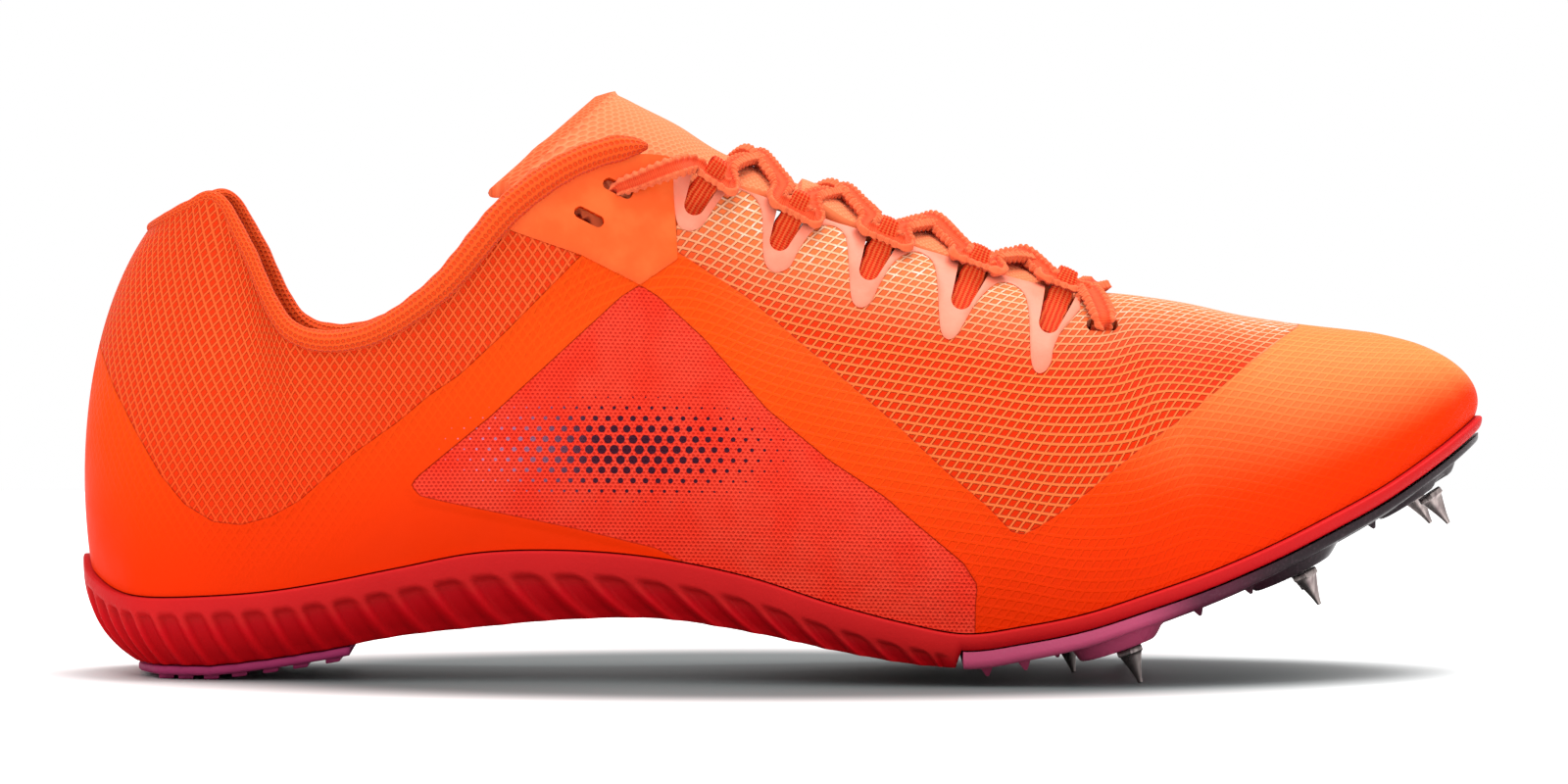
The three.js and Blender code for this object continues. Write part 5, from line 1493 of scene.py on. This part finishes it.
def make_heel_rubber():
    rows = 90
    stations = np.linspace(0, RUBBER_END, rows)
    sides = []
    for side in SIDES:
        out = outward(stations, side)
        edge = feather(stations, side) + out * (-sole_tuck(stations, side) - RUBBER_INSET)[:, None]
        top = sole_bottom(stations, LATERAL) - FIT
        profile = []
        for back, deep in ((0.0, 0.0), (-0.25, 0.25), (-0.25, 1.2), (0.2, 1.65), (0.8, RUBBER_THICKNESS)):
            point = edge - out * back
            point[:, 2] = top - deep
            profile.append(point)
        sides.append(np.stack(profile, 1))
    rings = np.concatenate([sides[0], sides[1][:, ::-1]], 1)
    made, made_faces = [rings.reshape(-1, 3)], [grid_faces(rows, rings.shape[1], True)]
    count = len(made[0])
    for lug in range(LUG_COUNT):
        station = LUG_FIRST + lug * LUG_EVERY
        lateral, medial = lug_end(station, LATERAL), lug_end(station, MEDIAL)
        rubber_top = lambda at: float(sole_bottom(at, LATERAL)) - FIT
        low = rubber_top(station) - RUBBER_THICKNESS - LUG_HEIGHT
        run = float(feather(station + 0.2, LATERAL)[0] - feather(station - 0.2, LATERAL)[0])
        slope = (rubber_top(station + 0.2) - rubber_top(station - 0.2)) / run
        for across in range(5):
            width = (medial[1] - lateral[1]) / 5
            y0, y1 = lateral[1] + across * width + 0.5, lateral[1] + (across + 1) * width - 0.5
            shapes = []
            for inset, deep in ((0.0, LUG_HEIGHT + 0.6), (0.0, 0.35), (0.12, 0.1), (0.35, 0.0)):
                xs = (lateral[0] - LUG_WIDTH / 2 + inset, lateral[0] + LUG_WIDTH / 2 - inset)
                ys = (y0 + inset, y1 - inset)
                for px, py in ((xs[0], ys[0]), (xs[1], ys[0]), (xs[1], ys[1]), (xs[0], ys[1])):
                    shapes.append([px, py, low + deep + slope * (px - lateral[0])])
            made.append(np.array(shapes))
            made_faces.append(grid_faces(4, 4, True) + count)
            count += 16
    obj = make_object("heel_rubber_lugs", np.concatenate(made), np.concatenate(made_faces), RUBBER, smooth_angle=50)
    close_up(obj, 1e-6)
    place(obj, "rubber", "heel_outsole")


# Lights, floor and camera
def make_stage():
    floor = bpy.data.meshes.new("floor")
    floor.from_pydata([(-1.2, -1.2, 0), (1.4, -1.2, 0), (1.4, 0.8, 0), (-1.2, 0.8, 0)], [], [(0, 1, 2, 3)])
    obj = bpy.data.objects.new("floor", floor)
    bpy.context.scene.collection.objects.link(obj)
    paint = Paint("pale_floor", rough=0.55, specular=0.2)
    x, y, z = paint.position()
    cloud = paint.noise(300, 2.0)
    pale = paint.mix(cloud, linear(244, 244, 244, 1), linear(247, 247, 247, 1))
    # Grey oval under the shoe: painted contact shadow on the floor.
    oval = (((x - 118.0) / 165.0).power(2.0) + ((y + 5.0) / 105.0).power(2.0)).power(0.5)
    painted_shadow = oval.ramp(0.55, 1.0, 1.0, 0.0)
    obj.data.materials.append(paint.finish(paint.mix(painted_shadow, pale, linear(92, 100, 100, 1))))


def make_light(name, power, size, location, target, colour=(1, 1, 1)):
    light = bpy.data.lights.new(name, "AREA")
    light.energy, light.size, light.color = power, size, colour
    obj = bpy.data.objects.new(name, light)
    obj.location = location
    obj.rotation_euler = (Vector(target) - Vector(location)).to_track_quat("-Z", "Y").to_euler()
    bpy.context.scene.collection.objects.link(obj)


def make_camera():
    camera = bpy.data.cameras.new("camera")
    camera.sensor_width, camera.lens = 36, 200
    obj = bpy.data.objects.new("camera", camera)
    width = 1600 * PIXEL * 0.001
    distance = width * camera.lens / camera.sensor_width
    middle = Vector(metres([(800 - 82) * PIXEL, -4.0, (688 - 400) * PIXEL]))
    rise = math.radians(2.0)
    obj.location = middle + Vector((0, -math.cos(rise), math.sin(rise))) * distance
    obj.rotation_euler = (middle - obj.location).to_track_quat("-Z", "Y").to_euler()
    camera.clip_end = 20
    bpy.context.scene.collection.objects.link(obj)
    bpy.context.scene.camera = obj


make_upper()
for side_, label in ((LATERAL, "lateral"), (MEDIAL, "medial")):
    film_piece(f"eyelet_film_{label}", side_, 8.6, 12.2, 110, 60, 0.45, top_panel_keep, PANEL_FILM, "upper_film",
               f"top_eyelet_panel_{label}")
    film_piece(f"zigzag_film_{label}", side_, 10.8, 18.0, 260, 60, 0.6, zigzag_keep, CORAL_FILM, "eyestay",
               f"eyestay_film_{label}", 0.45)
    for number in range(len(NOTCH_STATIONS)):
        make_loop(side_, number)
make_collar_roll()
make_tongue()
make_lace()
make_midsole()
make_insole()
make_plate()
for spike in spikes():
    make_pin(*spike)
make_heel_rubber()
make_stage()
make_camera()
make_light("key", 7, 0.9, (-0.3, -0.75, 1.2), (0.12, 0, 0.05))
make_light("top", 20, 0.8, (0.4, 0.1, 1.3), (0.16, 0, 0.05))
make_light("low", 2.4, 0.9, (0.1, -1.3, 0.3), (0.12, 0, 0.03))

world = bpy.data.worlds.new("studio")
world.use_nodes = True
world.node_tree.nodes["Background"].inputs["Color"].default_value = (1, 1, 1, 1)
world.node_tree.nodes["Background"].inputs["Strength"].default_value = 1.0
bpy.context.scene.world = world
bpy.context.scene.view_settings.view_transform = "Standard"
